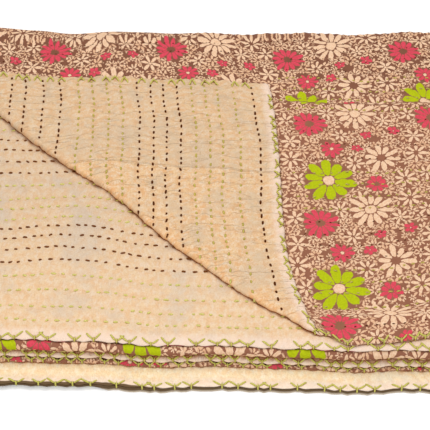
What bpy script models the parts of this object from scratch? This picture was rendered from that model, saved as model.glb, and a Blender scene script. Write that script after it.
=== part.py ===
"""A hand-quilted kantha quilt, folded for the shelf, with one corner turned back.

Two whole cloths are quilted together: a printed one and a plain cream one. The quilt is folded in
half across its width, cream inside, which gives two sheets: A above and B below, joined by the
fold at the back. That pair is folded back and forth in three along its length, so six layers lie
on each other with all their hems at the front:

    layer 1  A, print up, its front left corner turned back over it
    layer 2  B, cream up
    layer 3  B, print up, its hem tucked under
    layer 4  A, cream up
    layer 5  A, print up
    layer 6  B, cream up, lying on the floor and showing furthest forward

Frame: metres, +Z up, +X along the stack's length, +Y towards the fold at the back. The floor is
z = 0, and the origin is on it, in the middle of the underside.

A point of the cloth is (u, v, n): u runs along the quilt's length, v across its width from the hem
of sheet A to the hem of sheet B, and n is its height in the cloth, up to the printed side.
"""

import math

import bmesh
import bpy
import numpy as np

NAME = "kantha_quilt"

# The quilt, flat.
WIDTH = 1.06
HALF = WIDTH / 2
RUNS = (0.643, 0.665, 0.655)  # the three lengths between the folds at the ends
END_SLANT = 0.127  # how far the first end leans outwards, for each metre from the front hem
SLANT_DEPTH = 0.42  # where that lean stops
CORNER_RADIUS = 0.014

# The cloths.
CLOTH = 0.0012
CLOTH_GAP = 0.0003
OUTER = CLOTH_GAP / 2 + CLOTH  # from the middle of the quilt to its face

# The stack.
PITCH = 0.005  # from one layer's middle to the next one's
SHEET_OFFSET = PITCH / 2  # from the middle of a pair of sheets to each of them
FLOOR_LAYER = OUTER  # the height of the lowest layer's middle
FIRST_END_X = -0.308
RIGHT_FOLD_X = FIRST_END_X + RUNS[0]
LEFT_FOLD_X = RIGHT_FOLD_X - RUNS[1]
END_FOLD = math.pi * PITCH  # the cloth that a fold at an end takes up
BACK_FOLD = math.pi * SHEET_OFFSET

# The front edge of each layer: its y at x = 0, and how much y grows for each metre of x.
FRONT = {
    "layer 1": (-0.2525, 0.0166),
    "layer 2": (-0.2490, -0.0370),
    "layer 3": (-0.2520, -0.0300),
    "layer 4": (-0.2565, -0.0350),
    "layer 5": (-0.2595, -0.0310),
    "layer 6": (-0.2872, -0.0150),
}
FRONT_BLEND = 0.07  # how far from an end fold one layer's front edge turns into the next one's
SWING_BACK = 0.009  # layer 1's hem swings back by this much towards the right
SWING_FROM, SWING_TO = 0.20, 0.27

# The tuck in layer 3's hem, and the room that it makes.
TUCK = 0.034
TUCK_RADIUS = 0.005
TUCK_FROM, TUCK_TO = 0.240, 0.300  # it runs out between these distances from x = 0
TUCKED_CLOTH = TUCK + TUCK_RADIUS  # from the hem to where the curl starts
TUCK_BEND_END = TUCKED_CLOTH - math.pi * TUCK_RADIUS  # from the hem to where it ends
TUCK_CUTS = 0.1  # the lines at the tuck's ends run this far in from the hem
LIFT = 2 * TUCK_RADIUS
LIFT_FROM, LIFT_TO = 0.275, 0.326
LIFT_FRONT, LIFT_BACK = -0.200, 0.000  # the lift is full in front of the first, none behind the other

# The corner that is turned back. Its crease starts to bend on this line.
CREASE_POINT = (-0.0671, -0.0871)
CREASE_ANGLE = math.radians(-42.4)
CREASE_RADIUS = 0.0018
SWAY, SWAY_LENGTH, SWAY_START = 0.0023, 0.29, 0.09  # its waves: height, length, where one starts
END_SWAY, END_SWAY_FROM, END_SWAY_TO = 0.0150, 0.14, 0.29  # the swing of its front end
SWAY_REACH = 0.07  # how far from the crease the cloth sways with it
PULL, PULL_AT, PULL_SIZE = 0.0135, -0.090, 0.21  # how far the corner is pulled left: size, y, width
PULL_FROM, PULL_TO = -0.25, -0.21
SLIDE_REACH = 0.10  # this near the crease, the pulled cloth slides along it
TURN_EASE = 0.03  # how far before the crease the cloth starts to move with it
SETTLE_REACH = 0.03  # how far from the crease the cloth starts to sink towards layer 2
SETTLE_LINES = (0.013, 0.026, 0.045)  # where the cloth bends for that
ALONG = (math.cos(CREASE_ANGLE), math.sin(CREASE_ANGLE))
TO_CORNER = (ALONG[1], -ALONG[0])

# The hems and the crease settle towards the layer below, but the lowest hem curls up off the floor.
SAG, SAG_REACH = 0.0017, 0.012
LIP, LIP_REACH = 0.0042, 0.020
LIP_SLOPE = 1.2  # how much lower the curl gets towards the right, for each metre

# Where the top pair reaches past the back fold of the pair below it, it sinks.
DROOP = 0.005
DROOP_FROM, DROOP_TO = 0.250, 0.285

# How unevenly the stack lies. A wave is its size, its turn for each metre, and its start.
BACK_PULLS = ((0.0095, -0.19, -0.31), (-0.0035, 0.17, 0.24))  # shift of the back edge, from, to
MIDDLE_PULL, MIDDLE_LEFT, MIDDLE_RIGHT = 0.0075, (-0.215, -0.135), (0.200, 0.150)
BACK_DENT = (0.0045, 0.045, 0.045)  # size, x, width
Y_WAVES = ((0.0012, 31, 0.6), (0.0008, 57, 2.0))
X_WAVE = (0.0030, 14, 1.1)
SWELL = 0.05
SWELL_WAVES = (13, 1.0, 11, -0.4)
RIPPLE = 0.03
RIPPLE_TURNS = (9, 23)
BACK_LOFT = 0.38  # how much looser the layers lie towards the folds at the back
LOFT_FROM, LOFT_TO = -0.20, 0.05

# Quilting rows, which dip between soft ridges.
ROW_PITCH = 0.0195
FIRST_ROW = 0.022  # from a hem
RIDGE = 0.00025  # how far a ridge stands above the cloth's face
DIP = 0.00050  # how far a row lies below it
QUILTED_TO = 0.1  # the rows stop this far before the right fold
SHOWN_MARGIN = 0.02  # how far the modelled rows reach in under the turned corner

# Where the mesh has its lines, from the front hem to the back fold and along each run.
DEPTH_LINES = (0.045, 0.120, 0.200, 0.280, 0.360, 0.440)
DROOP_LINE = 0.4985
LENGTH_LINES = (0.085, 0.185, LIFT_FROM, LIFT_TO)  # on each side of x = 0, in every run
END_FOLD_CELLS = 5
BACK_FOLD_CELLS = 4
TUCK_CELLS = 4
TUCK_END_LINES = (0.240, 0.255, 0.270, 0.280, 0.285, 0.290, 0.295, 0.300)
TUCK_LINE_GAP = 0.0014
FOLLOW = 0.075  # lines this near the back fold follow it
CREASE_CELLS = 3
SNAP = 1e-6


def ease(start, stop, value):
    """0 before start, 1 after stop, and smooth between; start may be the larger one."""
    t = np.clip((value - start) / (stop - start), 0, 1)
    return t * t * (3 - 2 * t)


def bell(value, middle, width):
    return np.exp(-(((value - middle) / width) ** 2))


# The stack's middle line, in x and z: run 1, right fold, run 2, left fold, run 3.
FOLD_STARTS = (RUNS[0], RUNS[0] + END_FOLD + RUNS[1])
LENGTH = sum(RUNS) + 2 * END_FOLD
LOW_PAIR = FLOOR_LAYER + SHEET_OFFSET
MIDDLE_PAIR = LOW_PAIR + 2 * PITCH
TOP_PAIR = MIDDLE_PAIR + 2 * PITCH


def middle_line(u):
    """x, z, and the normal's x and z, which points to sheet A."""
    right = np.clip((u - FOLD_STARTS[0]) / PITCH, 0, math.pi)
    left = np.clip((u - FOLD_STARTS[1]) / PITCH, 0, math.pi)
    run_1 = np.minimum(u, FOLD_STARTS[0])
    run_2 = np.clip(u - FOLD_STARTS[0] - END_FOLD, 0, RUNS[1])
    run_3 = np.maximum(u - FOLD_STARTS[1] - END_FOLD, 0)
    x = FIRST_END_X + run_1 + PITCH * np.sin(right) - run_2 - PITCH * np.sin(left) + run_3
    z = TOP_PAIR - PITCH * (1 - np.cos(right)) - PITCH * (1 - np.cos(left))
    turn = right - left
    return x, z, np.sin(turn), np.cos(turn)


def front(layer, x):
    y, slope = FRONT[layer]
    return y + slope * x


def runs_at(u):
    """How much a point belongs to run 1, 2 and 3, turning from one to the next at the end folds."""
    after_1 = ease(FOLD_STARTS[0] - FRONT_BLEND, FOLD_STARTS[0] + END_FOLD + FRONT_BLEND, u)
    after_2 = ease(FOLD_STARTS[1] - FRONT_BLEND, FOLD_STARTS[1] + END_FOLD + FRONT_BLEND, u)
    return 1 - after_1, after_1 - after_2, after_2


def tucked(u, x):
    """How much of its full width layer 3's tuck has, from 0 to 1."""
    in_run_2 = (u > FOLD_STARTS[0] + END_FOLD) & (u < FOLD_STARTS[1])
    return np.where(in_run_2, np.clip((TUCK_TO - np.abs(x)) / (TUCK_TO - TUCK_FROM), 0, 1), 0)


def hems(u, x):
    """y of sheet A's hem, and of sheet B's as it would lie with nothing tucked under."""
    in_1, in_2, in_3 = runs_at(u)
    swing = SWING_BACK * ease(SWING_FROM, SWING_TO, x)
    a = in_1 * (front("layer 1", x) + swing) + in_2 * front("layer 4", x)
    b = in_1 * front("layer 2", x) + in_2 * (front("layer 3", x) - TUCK * tucked(u, x))
    return a + in_3 * front("layer 5", x), b + in_3 * front("layer 6", x)


def back_fold_start(u, x):
    """v where sheet A starts to turn down into the back fold."""
    a, b = hems(u, x)
    return HALF + (b - a - BACK_FOLD) / 2


def lift(x, y):
    """How far the layers above the tuck are raised by it."""
    ends = np.clip((LIFT_TO - np.abs(x)) / (LIFT_TO - LIFT_FROM), 0, 1)
    return LIFT * ends * ease(LIFT_BACK, LIFT_FRONT, y)


def from_crease(x, y):
    """How far a point is along the crease, and beyond it towards the corner."""
    from_x, from_y = x - CREASE_POINT[0], y - CREASE_POINT[1]
    along = from_x * ALONG[0] + from_y * ALONG[1]
    return along, from_x * TO_CORNER[0] + from_y * TO_CORNER[1]


def turn_corner(x, y, n):
    """Turns layer 1's corner back over its crease.

    Gives the new x and y, the height above layer 1, which way the cloth faces (from 1 to -1 where it
    is turned over), and how much it settles on layer 2 (from 0 to 1 at the crease)."""
    along, beyond = from_crease(x, y)
    angle = np.clip(beyond / CREASE_RADIUS, 0, math.pi)
    flat = np.maximum(beyond - math.pi * CREASE_RADIUS, 0)
    across = np.minimum(beyond, 0) + (CREASE_RADIUS - n) * np.sin(angle) - flat
    height = CREASE_RADIUS - (CREASE_RADIUS - n) * np.cos(angle)
    turned = ease(-TURN_EASE, 0, beyond)
    across = across - sway(along) * bell(across, 0, SWAY_REACH) * turned
    settled = ease(-SETTLE_REACH, 0, across + sway(along))
    x = CREASE_POINT[0] + along * ALONG[0] + across * TO_CORNER[0]
    y = CREASE_POINT[1] + along * ALONG[1] + across * TO_CORNER[1]
    pull = PULL * bell(y, PULL_AT, PULL_SIZE) * ease(PULL_FROM, PULL_TO, y) * turned
    slide = bell(across, 0, SLIDE_REACH) * ALONG[1] / ALONG[0]
    return x - pull, y - pull * slide, height, np.cos(angle), settled


def sway(along):
    """The crease isn't quite straight: how far it sways towards the back, along its length."""
    wave = 1 - np.cos((along - SWAY_START) * math.tau / SWAY_LENGTH)
    return END_SWAY * ease(END_SWAY_FROM, END_SWAY_TO, along) + SWAY * wave


def uneven(x, y, z):
    """The soft unevenness of a stack laid down by hand. The floor stays flat."""
    pull = MIDDLE_PULL * ease(*MIDDLE_LEFT, x) * ease(*MIDDLE_RIGHT, x)
    pull = pull + sum(size * ease(start, stop, x) for size, start, stop in BACK_PULLS)
    pull = pull - BACK_DENT[0] * bell(x, *BACK_DENT[1:])
    y = y + pull * ease(-HALF / 2, HALF / 2, y)
    y = y + sum(size * np.sin(x * turn + start) for size, turn, start in Y_WAVES)
    x = x + X_WAVE[0] * np.sin(y * X_WAVE[1] + X_WAVE[2])
    x_turn, x_start, y_turn, y_start = SWELL_WAVES
    swell = SWELL * np.sin(x * x_turn + x_start) * np.cos(y * y_turn + y_start)
    ripple = RIPPLE * np.sin(x * RIPPLE_TURNS[0] + y * RIPPLE_TURNS[1])
    z = z * (1 + swell + ripple + BACK_LOFT * ease(LOFT_FROM, LOFT_TO, y))
    return x, y, z


def fold(u, v, n):
    """The place in the folded stack of each point (u, v, n) of the flat cloth."""
    x, z, normal_x, normal_z = middle_line(u)
    hem_a, _ = hems(u, x)
    start = back_fold_start(u, x)
    on_b = v > start + BACK_FOLD / 2
    turn = np.clip((v - start) / SHEET_OFFSET, 0, math.pi)
    past_fold = np.maximum(v - start - BACK_FOLD, 0)
    y = hem_a + np.minimum(v, start) + (SHEET_OFFSET + n) * np.sin(turn) - past_fold
    offset = (SHEET_OFFSET + n) * np.cos(turn)

    # Layer 3's hem curls under, in the room that the lift makes.
    tuck = tucked(u, x)
    curled = TUCKED_CLOTH * tuck - (WIDTH - v)
    curling = on_b & (tuck > 0) & (curled > 0)
    curl = np.where(curling, np.clip(curled / TUCK_RADIUS, 0, math.pi), 0)
    back_again = np.maximum(curled - math.pi * TUCK_RADIUS, 0)
    y_curl = y + curled - (TUCK_RADIUS + n) * np.sin(curl) + back_again
    y = np.where(curling, y_curl, y)
    drop = (TUCK_RADIUS + n) * (1 - np.cos(curl))
    raised = lift(x, y)
    middle_run = (u > FOLD_STARTS[0] + END_FOLD) & (u < FOLD_STARTS[1])
    offset = np.where(on_b & middle_run, offset - raised + drop, offset)

    # Layer 1's corner is turned back.
    first_run = u < FOLD_STARTS[0]
    corner = first_run & (v < start)
    corner_x, corner_y, height, facing, settled = turn_corner(x, y, n)
    x = np.where(corner, corner_x, x)
    y = np.where(corner, corner_y, y)
    offset = np.where(corner, SHEET_OFFSET + height, offset)
    z = z + np.where(first_run, lift(x, y) - droop(x, y), 0)
    low = sag(u, v)
    low = np.where(corner, np.maximum(low * (1 + facing) / 2, SAG * settled), low)
    z = z + curl_up(u, v, x) - low
    return uneven(x + offset * normal_x, y, z + offset * normal_z)


def sag(u, v):
    """How far a hem sinks towards the layer below."""
    return SAG * np.where(v > HALF, ease(SAG_REACH, 0, WIDTH - v) * runs_at(u)[0], ease(SAG_REACH, 0, v))


def curl_up(u, v, x):
    """How far the lowest layer's hem is off the floor."""
    run_3 = FOLD_STARTS[1] + END_FOLD
    lowest = ease(run_3, run_3 + FRONT_BLEND, u) * (v > HALF)
    return LIP * (1 - LIP_SLOPE * x) * ease(LIP_REACH, 0, WIDTH - v) * lowest


def droop(x, y):
    """How far the top pair sinks where it reaches past the back fold of the pair below it."""
    ends = np.clip((LENGTH_LINES[2] - np.abs(x)) / (LENGTH_LINES[2] - LENGTH_LINES[1]), 0, 1)
    return DROOP * ends * ease(DROOP_FROM, DROOP_TO, y)


# The flat mesh.


def exposed_a(u, v):
    """Whether sheet A shows at a point of run 1: on the turned corner, or where that doesn't cover it."""
    x, y = FIRST_END_X + u, front("layer 1", FIRST_END_X + u) + v
    _, beyond = from_crease(x, y)
    mirror_x, mirror_y = x - 2 * beyond * TO_CORNER[0], y - 2 * beyond * TO_CORNER[1]
    covered = mirror_x > FIRST_END_X - END_SLANT * v + SHOWN_MARGIN
    covered &= mirror_y > front("layer 1", mirror_x) + SHOWN_MARGIN
    return beyond > 0 or not covered


def exposed_b(u, v):
    """Whether sheet B shows at a point of run 1, in front of the crease."""
    x, y = FIRST_END_X + u, front("layer 2", FIRST_END_X + u) + WIDTH - v
    _, beyond = from_crease(x, y)
    return beyond > -SHOWN_MARGIN


def cut(cloth, point, normal, where=None):
    """Adds an edge line across the flat cloth, or across the faces where it is wanted."""
    faces = [f for f in cloth.faces if where is None or where(*f.calc_center_median()[:2])]
    edges = {e for f in faces for e in f.edges}
    corners = {c for f in faces for c in f.verts}
    parts = [*faces, *edges, *corners]
    bmesh.ops.bisect_plane(cloth, geom=parts, dist=SNAP, plane_co=point, plane_no=normal)


def spread(start, stop, cells):
    return [start + (stop - start) * i / cells for i in range(1, cells)]


def u_at(run, x):
    """u of the point of a run that lies at x."""
    if run == 1:
        return x - FIRST_END_X
    if run == 2:
        return FOLD_STARTS[0] + END_FOLD + RIGHT_FOLD_X - x
    return FOLD_STARTS[1] + END_FOLD + x - LEFT_FOLD_X


def length_lines():
    """u of each line that crosses the whole quilt. The runs have theirs at the same x."""
    lines = [u_at(run, side * x) for run in (1, 2, 3) for side in (-1, 1) for x in LENGTH_LINES]
    for start in FOLD_STARTS:
        lines += [start, *spread(start, start + END_FOLD, END_FOLD_CELLS), start + END_FOLD]
    return lines


def width_lines():
    """v of each line that runs the whole length, before the lines follow the folds."""
    start = HALF - BACK_FOLD / 2
    lines = [start, start + BACK_FOLD, *spread(start, start + BACK_FOLD, BACK_FOLD_CELLS)]
    lines += [line for depth in DEPTH_LINES[1:] for line in (depth, WIDTH - depth)]
    return lines + [DEPTH_LINES[0]]


def row_lines():
    """The distance from the hem of each quilting row, and of the ridge in front of it."""
    count = int((HALF - FIRST_ROW - BACK_FOLD) / ROW_PITCH)
    rows = [FIRST_ROW + ROW_PITCH * i for i in range(count + 1)]
    return [line for row in rows for line in (row - ROW_PITCH / 2, row)]


def flat_cloth():
    """The cut of both cloths, flat, with an edge wherever it will bend, dip or rise."""
    cloth = bmesh.new()
    bmesh.ops.create_grid(cloth, x_segments=1, y_segments=1, size=0.5)
    lean = END_SLANT * SLANT_DEPTH
    for vertex in cloth.verts:
        vertex.co.x = (vertex.co.x + 0.5) * (LENGTH + lean) - lean
        vertex.co.y = (vertex.co.y + 0.5) * WIDTH
    for u in length_lines():
        cut(cloth, (u, 0, 0), (1, 0, 0))
    for v in width_lines():
        cut(cloth, (0, v, 0), (0, 1, 0))
    for v in (DROOP_LINE, WIDTH - DROOP_LINE):
        cut(cloth, (0, v, 0), (0, 1, 0), lambda u, v: u < FOLD_STARTS[0])

    run_3 = FOLD_STARTS[1] + END_FOLD
    cut(cloth, (0, WIDTH - LIP_REACH, 0), (0, 1, 0), lambda u, v: u > run_3 and v > HALF)

    last_u = u_at(1, LIFT_FROM)
    for depth in row_lines():
        cut(cloth, (0, depth, 0), (0, 1, 0), lambda u, v: u < last_u and v < HALF and exposed_a(u, v))
        back = WIDTH - depth
        cut(cloth, (0, back, 0), (0, 1, 0), lambda u, v: u < last_u and v > HALF and exposed_b(u, v))

    run_2 = (FOLD_STARTS[0] + END_FOLD, FOLD_STARTS[1])
    for depth in [TUCKED_CLOTH, *spread(TUCKED_CLOTH, TUCK_BEND_END, TUCK_CELLS), TUCK_BEND_END]:
        back = WIDTH - depth
        cut(cloth, (0, back, 0), (0, 1, 0), lambda u, v: run_2[0] < u < run_2[1] and v > HALF)
    for x in [side * x for side in (-1, 1) for x in TUCK_END_LINES]:
        u = u_at(2, x)
        cut(cloth, (u, 0, 0), (1, 0, 0), lambda u, v: run_2[0] < u < run_2[1] and v > WIDTH - TUCK_CUTS)

    follow_folds(cloth)
    trim(cloth)
    crease_lines(cloth)
    bmesh.ops.triangulate(cloth, faces=cloth.faces[:])
    return cloth


def follow_folds(cloth):
    """Moves the lines at the back fold and at the tuck onto them."""
    fold_start = HALF - BACK_FOLD / 2
    fold_end = fold_start + BACK_FOLD
    bend = TUCKED_CLOTH - TUCK_BEND_END
    for vertex in cloth.verts:
        u, v = vertex.co.x, vertex.co.y
        x = float(middle_line(u)[0])
        gap = max(fold_start - v, v - fold_end, 0)
        to_hem = WIDTH - v
        if gap < FOLLOW:
            shift = float(back_fold_start(u, x)) - fold_start
            vertex.co.y = v + shift * (1 - gap / FOLLOW)
        elif SNAP < to_hem <= TUCKED_CLOTH + SNAP and FOLD_STARTS[0] + END_FOLD < u < FOLD_STARTS[1]:
            index = round(TUCK_CELLS * (to_hem - TUCK_BEND_END) / bend) + 1
            line = max(to_hem - TUCKED_CLOTH * (1 - float(tucked(u, x))), index * TUCK_LINE_GAP)
            vertex.co.y = WIDTH - line


def trim(cloth):
    """Cuts the first end on its slant, and rounds the quilt's corners with two cuts each."""
    slant = math.atan(END_SLANT)
    for hem, inward in ((0, 1), (WIDTH, -1)):
        trim_off(cloth, (0, hem), (-math.cos(slant), -inward * math.sin(slant)))
        for end, way in ((0, 1), (LENGTH, -1)):
            centre = (end + way * CORNER_RADIUS, hem + inward * CORNER_RADIUS)
            for angle in (math.pi / 8, 3 * math.pi / 8):
                out = (-way * math.cos(angle), -inward * math.sin(angle))
                point = [c + CORNER_RADIUS * o for c, o in zip(centre, out, strict=True)]
                trim_off(cloth, point, out)


def trim_off(cloth, point, out):
    """Cuts the flat cloth along a line, and takes away what is beyond it."""
    parts = [*cloth.verts, *cloth.edges, *cloth.faces]
    line = {"plane_co": (*point, 0), "plane_no": (*out, 0)}
    bmesh.ops.bisect_plane(cloth, geom=parts, dist=SNAP, clear_outer=True, **line)


def crease_lines(cloth):
    """The lines that the turned corner bends on, in sheet A of run 1."""
    slope = FRONT["layer 1"][1]
    hem = front("layer 1", FIRST_END_X)
    normal = (TO_CORNER[0] + slope * TO_CORNER[1], TO_CORNER[1], 0)
    bend = math.pi * CREASE_RADIUS
    lines = [0, *spread(0, bend, CREASE_CELLS), bend]
    lines += [line for away in SETTLE_LINES for line in (-away, bend + away)]
    for beyond in lines:
        x = CREASE_POINT[0] + beyond * TO_CORNER[0]
        y = CREASE_POINT[1] + beyond * TO_CORNER[1]
        u = x - FIRST_END_X
        point = (u, y - hem - slope * u, 0)
        cut(cloth, point, normal, lambda u, v: u < FOLD_STARTS[0] and v < HALF - BACK_FOLD)


def quilting(u, v):
    """How far the cloth's face stands above its plain height, or lies below it."""
    on_b = v > HALF
    depth = WIDTH - v if on_b else v
    shows = exposed_b(u, v) if on_b else exposed_a(u, v)
    last_row = row_lines()[-1]
    if not shows or u > FOLD_STARTS[0] - QUILTED_TO or depth > last_row + SNAP:
        return 0.0
    phase = (depth - FIRST_ROW) / ROW_PITCH
    from_row = abs(phase - round(phase)) * 2
    return from_row * RIDGE - (1 - from_row) * DIP


def fold_cloth(cloth, side):
    """Gives the flat cloth its thickness on one side of the quilt's middle, and folds it."""
    inner = side * CLOTH_GAP / 2
    made = bmesh.ops.extrude_face_region(cloth, geom=cloth.faces[:])
    raised = [part for part in made["geom"] if isinstance(part, bmesh.types.BMVert)]
    for vertex in cloth.verts:
        vertex.co.z = inner
    for vertex in raised:
        vertex.co.z = side * (OUTER + quilting(vertex.co.x, vertex.co.y))
    flat = np.array([vertex.co for vertex in cloth.verts], float)
    folded = np.stack(fold(*flat.T), axis=1)
    for vertex, place in zip(cloth.verts, folded, strict=True):
        vertex.co = place
    bmesh.ops.recalc_face_normals(cloth, faces=cloth.faces[:])


def material(name, colour, roughness):
    made = bpy.data.materials.new(name)
    made.use_nodes = True
    shader = made.node_tree.nodes["Principled BSDF"]
    shader.inputs["Base Color"].default_value = (*colour, 1)
    shader.inputs["Roughness"].default_value = roughness
    shader.inputs["Metallic"].default_value = 0
    return made


def cloth_object(name, side, colour, collection):
    cloth = flat_cloth()
    fold_cloth(cloth, side)
    mesh = bpy.data.meshes.new(name)
    cloth.to_mesh(mesh)
    cloth.free()
    mesh.materials.append(material(name, colour, 0.9))
    mesh.shade_smooth()
    mesh.set_sharp_from_angle(angle=math.radians(50))
    collection.objects.link(bpy.data.objects.new(name, mesh))


def main():
    for old in list(bpy.data.objects):
        bpy.data.objects.remove(old, do_unlink=True)
    collection = bpy.data.collections.new(NAME)
    bpy.context.scene.collection.children.link(collection)
    cloth_object("printed_cloth", 1, (0.42, 0.26, 0.20), collection)
    cloth_object("cream_cloth", -1, (0.85, 0.68, 0.50), collection)


if __name__ == "__main__":
    main()
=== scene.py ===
"""Dresses a folded kantha quilt: its printed and its cream cloth, its rows of running stitch, the
stitches round its hems, and the studio that it lies in.

Frame: metres, +Z up, +X along the stack, +Y towards the fold at the back, the floor at z = 0.
A point of the cloth is (u, v, n): u runs along the quilt's length, v across its width from the hem
of sheet A to the hem of sheet B, and n is its height in the cloth, up to the printed side.
"""

import math

import bmesh
import bpy
import numpy as np
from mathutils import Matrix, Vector


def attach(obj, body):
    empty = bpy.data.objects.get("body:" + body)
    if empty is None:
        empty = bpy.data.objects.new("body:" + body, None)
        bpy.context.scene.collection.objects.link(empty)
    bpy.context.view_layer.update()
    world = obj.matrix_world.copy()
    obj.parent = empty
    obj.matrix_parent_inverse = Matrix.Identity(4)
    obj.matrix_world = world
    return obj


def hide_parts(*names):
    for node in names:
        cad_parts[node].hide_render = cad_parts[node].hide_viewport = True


bl_info = {
    "name": "Folded kantha quilt",
    "version": (1, 0, 0),
    "blender": (4, 5, 0),
    "location": "3D View > Sidebar > Quilt",
    "description": "Cloths, stitches and light for a folded, hand-quilted kantha quilt",
    "category": "Object",
}

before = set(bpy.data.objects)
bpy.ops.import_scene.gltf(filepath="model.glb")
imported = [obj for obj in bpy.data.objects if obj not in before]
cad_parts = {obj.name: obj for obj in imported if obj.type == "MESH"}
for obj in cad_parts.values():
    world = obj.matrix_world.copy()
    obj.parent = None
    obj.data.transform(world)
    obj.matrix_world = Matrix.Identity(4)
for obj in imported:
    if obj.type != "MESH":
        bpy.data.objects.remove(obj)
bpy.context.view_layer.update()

PRINT_SIDE, CREAM_SIDE = 1, -1

# The quilt, flat, and the stack that it is folded into: the sizes of the solids.
WIDTH = 1.06
HALF = WIDTH / 2
RUNS = (0.643, 0.665, 0.655)
END_SLANT = 0.127
SLANT_DEPTH = 0.42
LEAN = END_SLANT * SLANT_DEPTH
CORNER_RADIUS = 0.014
CLOTH = 0.0012
CLOTH_GAP = 0.0003
OUTER = CLOTH_GAP / 2 + CLOTH
PITCH = 0.005
SHEET_OFFSET = PITCH / 2
FIRST_END_X = -0.308
END_FOLD = math.pi * PITCH
BACK_FOLD = math.pi * SHEET_OFFSET
FOLD_STARTS = (RUNS[0], RUNS[0] + END_FOLD + RUNS[1])
LENGTH = sum(RUNS) + 2 * END_FOLD
TOP_PAIR = OUTER + SHEET_OFFSET + 4 * PITCH

# The front edge of each layer: its y at x = 0, and how much y grows for each metre of x.
FRONT = {
    "layer 1": (-0.2525, 0.0166),
    "layer 2": (-0.2490, -0.0370),
    "layer 3": (-0.2520, -0.0300),
    "layer 4": (-0.2565, -0.0350),
    "layer 5": (-0.2595, -0.0310),
    "layer 6": (-0.2872, -0.0150),
}
FRONT_BLEND = 0.07
SWING_BACK, SWING_FROM, SWING_TO = 0.009, 0.20, 0.27

# The tuck in layer 3's hem, and the room that it makes.
TUCK = 0.034
TUCK_RADIUS = 0.005
TUCK_FROM, TUCK_TO = 0.240, 0.300
TUCKED_CLOTH = TUCK + TUCK_RADIUS
LIFT = 2 * TUCK_RADIUS
LIFT_FROM, LIFT_TO = 0.275, 0.326
LIFT_FRONT, LIFT_BACK = -0.200, 0.000

# The corner that is turned back, and its crease.
CREASE_POINT = (-0.0671, -0.0871)
CREASE_ANGLE = math.radians(-42.4)
CREASE_RADIUS = 0.0018
SWAY, SWAY_LENGTH, SWAY_START = 0.0023, 0.29, 0.09
END_SWAY, END_SWAY_FROM, END_SWAY_TO = 0.0150, 0.14, 0.29
SWAY_REACH = 0.07
PULL, PULL_AT, PULL_SIZE = 0.0135, -0.090, 0.21
PULL_FROM, PULL_TO = -0.25, -0.21
SLIDE_REACH = 0.10
TURN_EASE = 0.03
SETTLE_REACH = 0.03
ALONG = (math.cos(CREASE_ANGLE), math.sin(CREASE_ANGLE))
TO_CORNER = (ALONG[1], -ALONG[0])

# The hems and the crease settle towards the layer below, but the lowest hem curls up off the floor.
SAG, SAG_REACH = 0.0017, 0.012
LIP, LIP_REACH = 0.0042, 0.020
LIP_SLOPE = 1.2

# How unevenly the stack lies. A wave is its size, its turn for each metre, and its start.
DROOP, DROOP_FROM, DROOP_TO = 0.005, 0.250, 0.285
DROOP_ENDS = (0.185, 0.275)
BACK_PULLS = ((0.0095, -0.19, -0.31), (-0.0035, 0.17, 0.24))
MIDDLE_PULL, MIDDLE_LEFT, MIDDLE_RIGHT = 0.0075, (-0.215, -0.135), (0.200, 0.150)
BACK_DENT = (0.0045, 0.045, 0.045)
Y_WAVES = ((0.0012, 31, 0.6), (0.0008, 57, 2.0))
X_WAVE = (0.0030, 14, 1.1)
SWELL = 0.05
SWELL_WAVES = (13, 1.0, 11, -0.4)
RIPPLE = 0.03
RIPPLE_TURNS = (9, 23)
BACK_LOFT = 0.38
LOFT_FROM, LOFT_TO = -0.20, 0.05

# Soft rumples that the solids leave out: size, turn along x and y, and start.
RUMPLES = (
    (0.012, 84, 31, 0.3),
    (0.010, -47, 96, 1.9),
    (0.008, 121, -62, 4.1),
    (0.006, 38, 149, 2.6),
)

# The rows of running stitch: their distances from the hem of sheet A and of sheet B, in mm.
ROWS_A = (24.5, 49.0, 70.9, 86.7, 104.5, 123.5, 141.5, 158.0, 176.1, 197.4, 215.8, 235.3, 254.1)
ROWS_A += (278.6, 301.9, 326.4, 345.7)
ROWS_B = (25.8, 43.1, 63.8, 84.8, 105.9, 124.8, 143.4, 159.2, 174.3, 192.1, 208.5, 231.1, 252.1)
ROWS_B += (271.6, 291.1, 308.0)
BROWN_FROM_A, BROWN_FROM_B = 5, 4  # the first brown row after the first green ones
ON_PRINT = {"brown": 0.55, "green": 0.85}  # how large the stitches on the print are beside the others
SEED = 11


# Property groups


def linear(code):
    """The linear colour of a web colour code."""
    parts = [int(code[i : i + 2], 16) / 255 for i in (1, 3, 5)]
    return tuple(c / 12.92 if c <= 0.04045 else ((c + 0.055) / 1.055) ** 2.4 for c in parts)


def colour_property(name, description, code):
    """A colour setting, given as a web colour code."""
    return bpy.props.FloatVectorProperty(
        name=name, description=description, subtype="COLOR", size=3, min=0, max=1, default=linear(code)
    )


def length_property(name, description, default):
    """A length setting in metres."""
    return bpy.props.FloatProperty(
        name=name, description=description, default=default, min=0, unit="LENGTH", precision=5
    )


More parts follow.
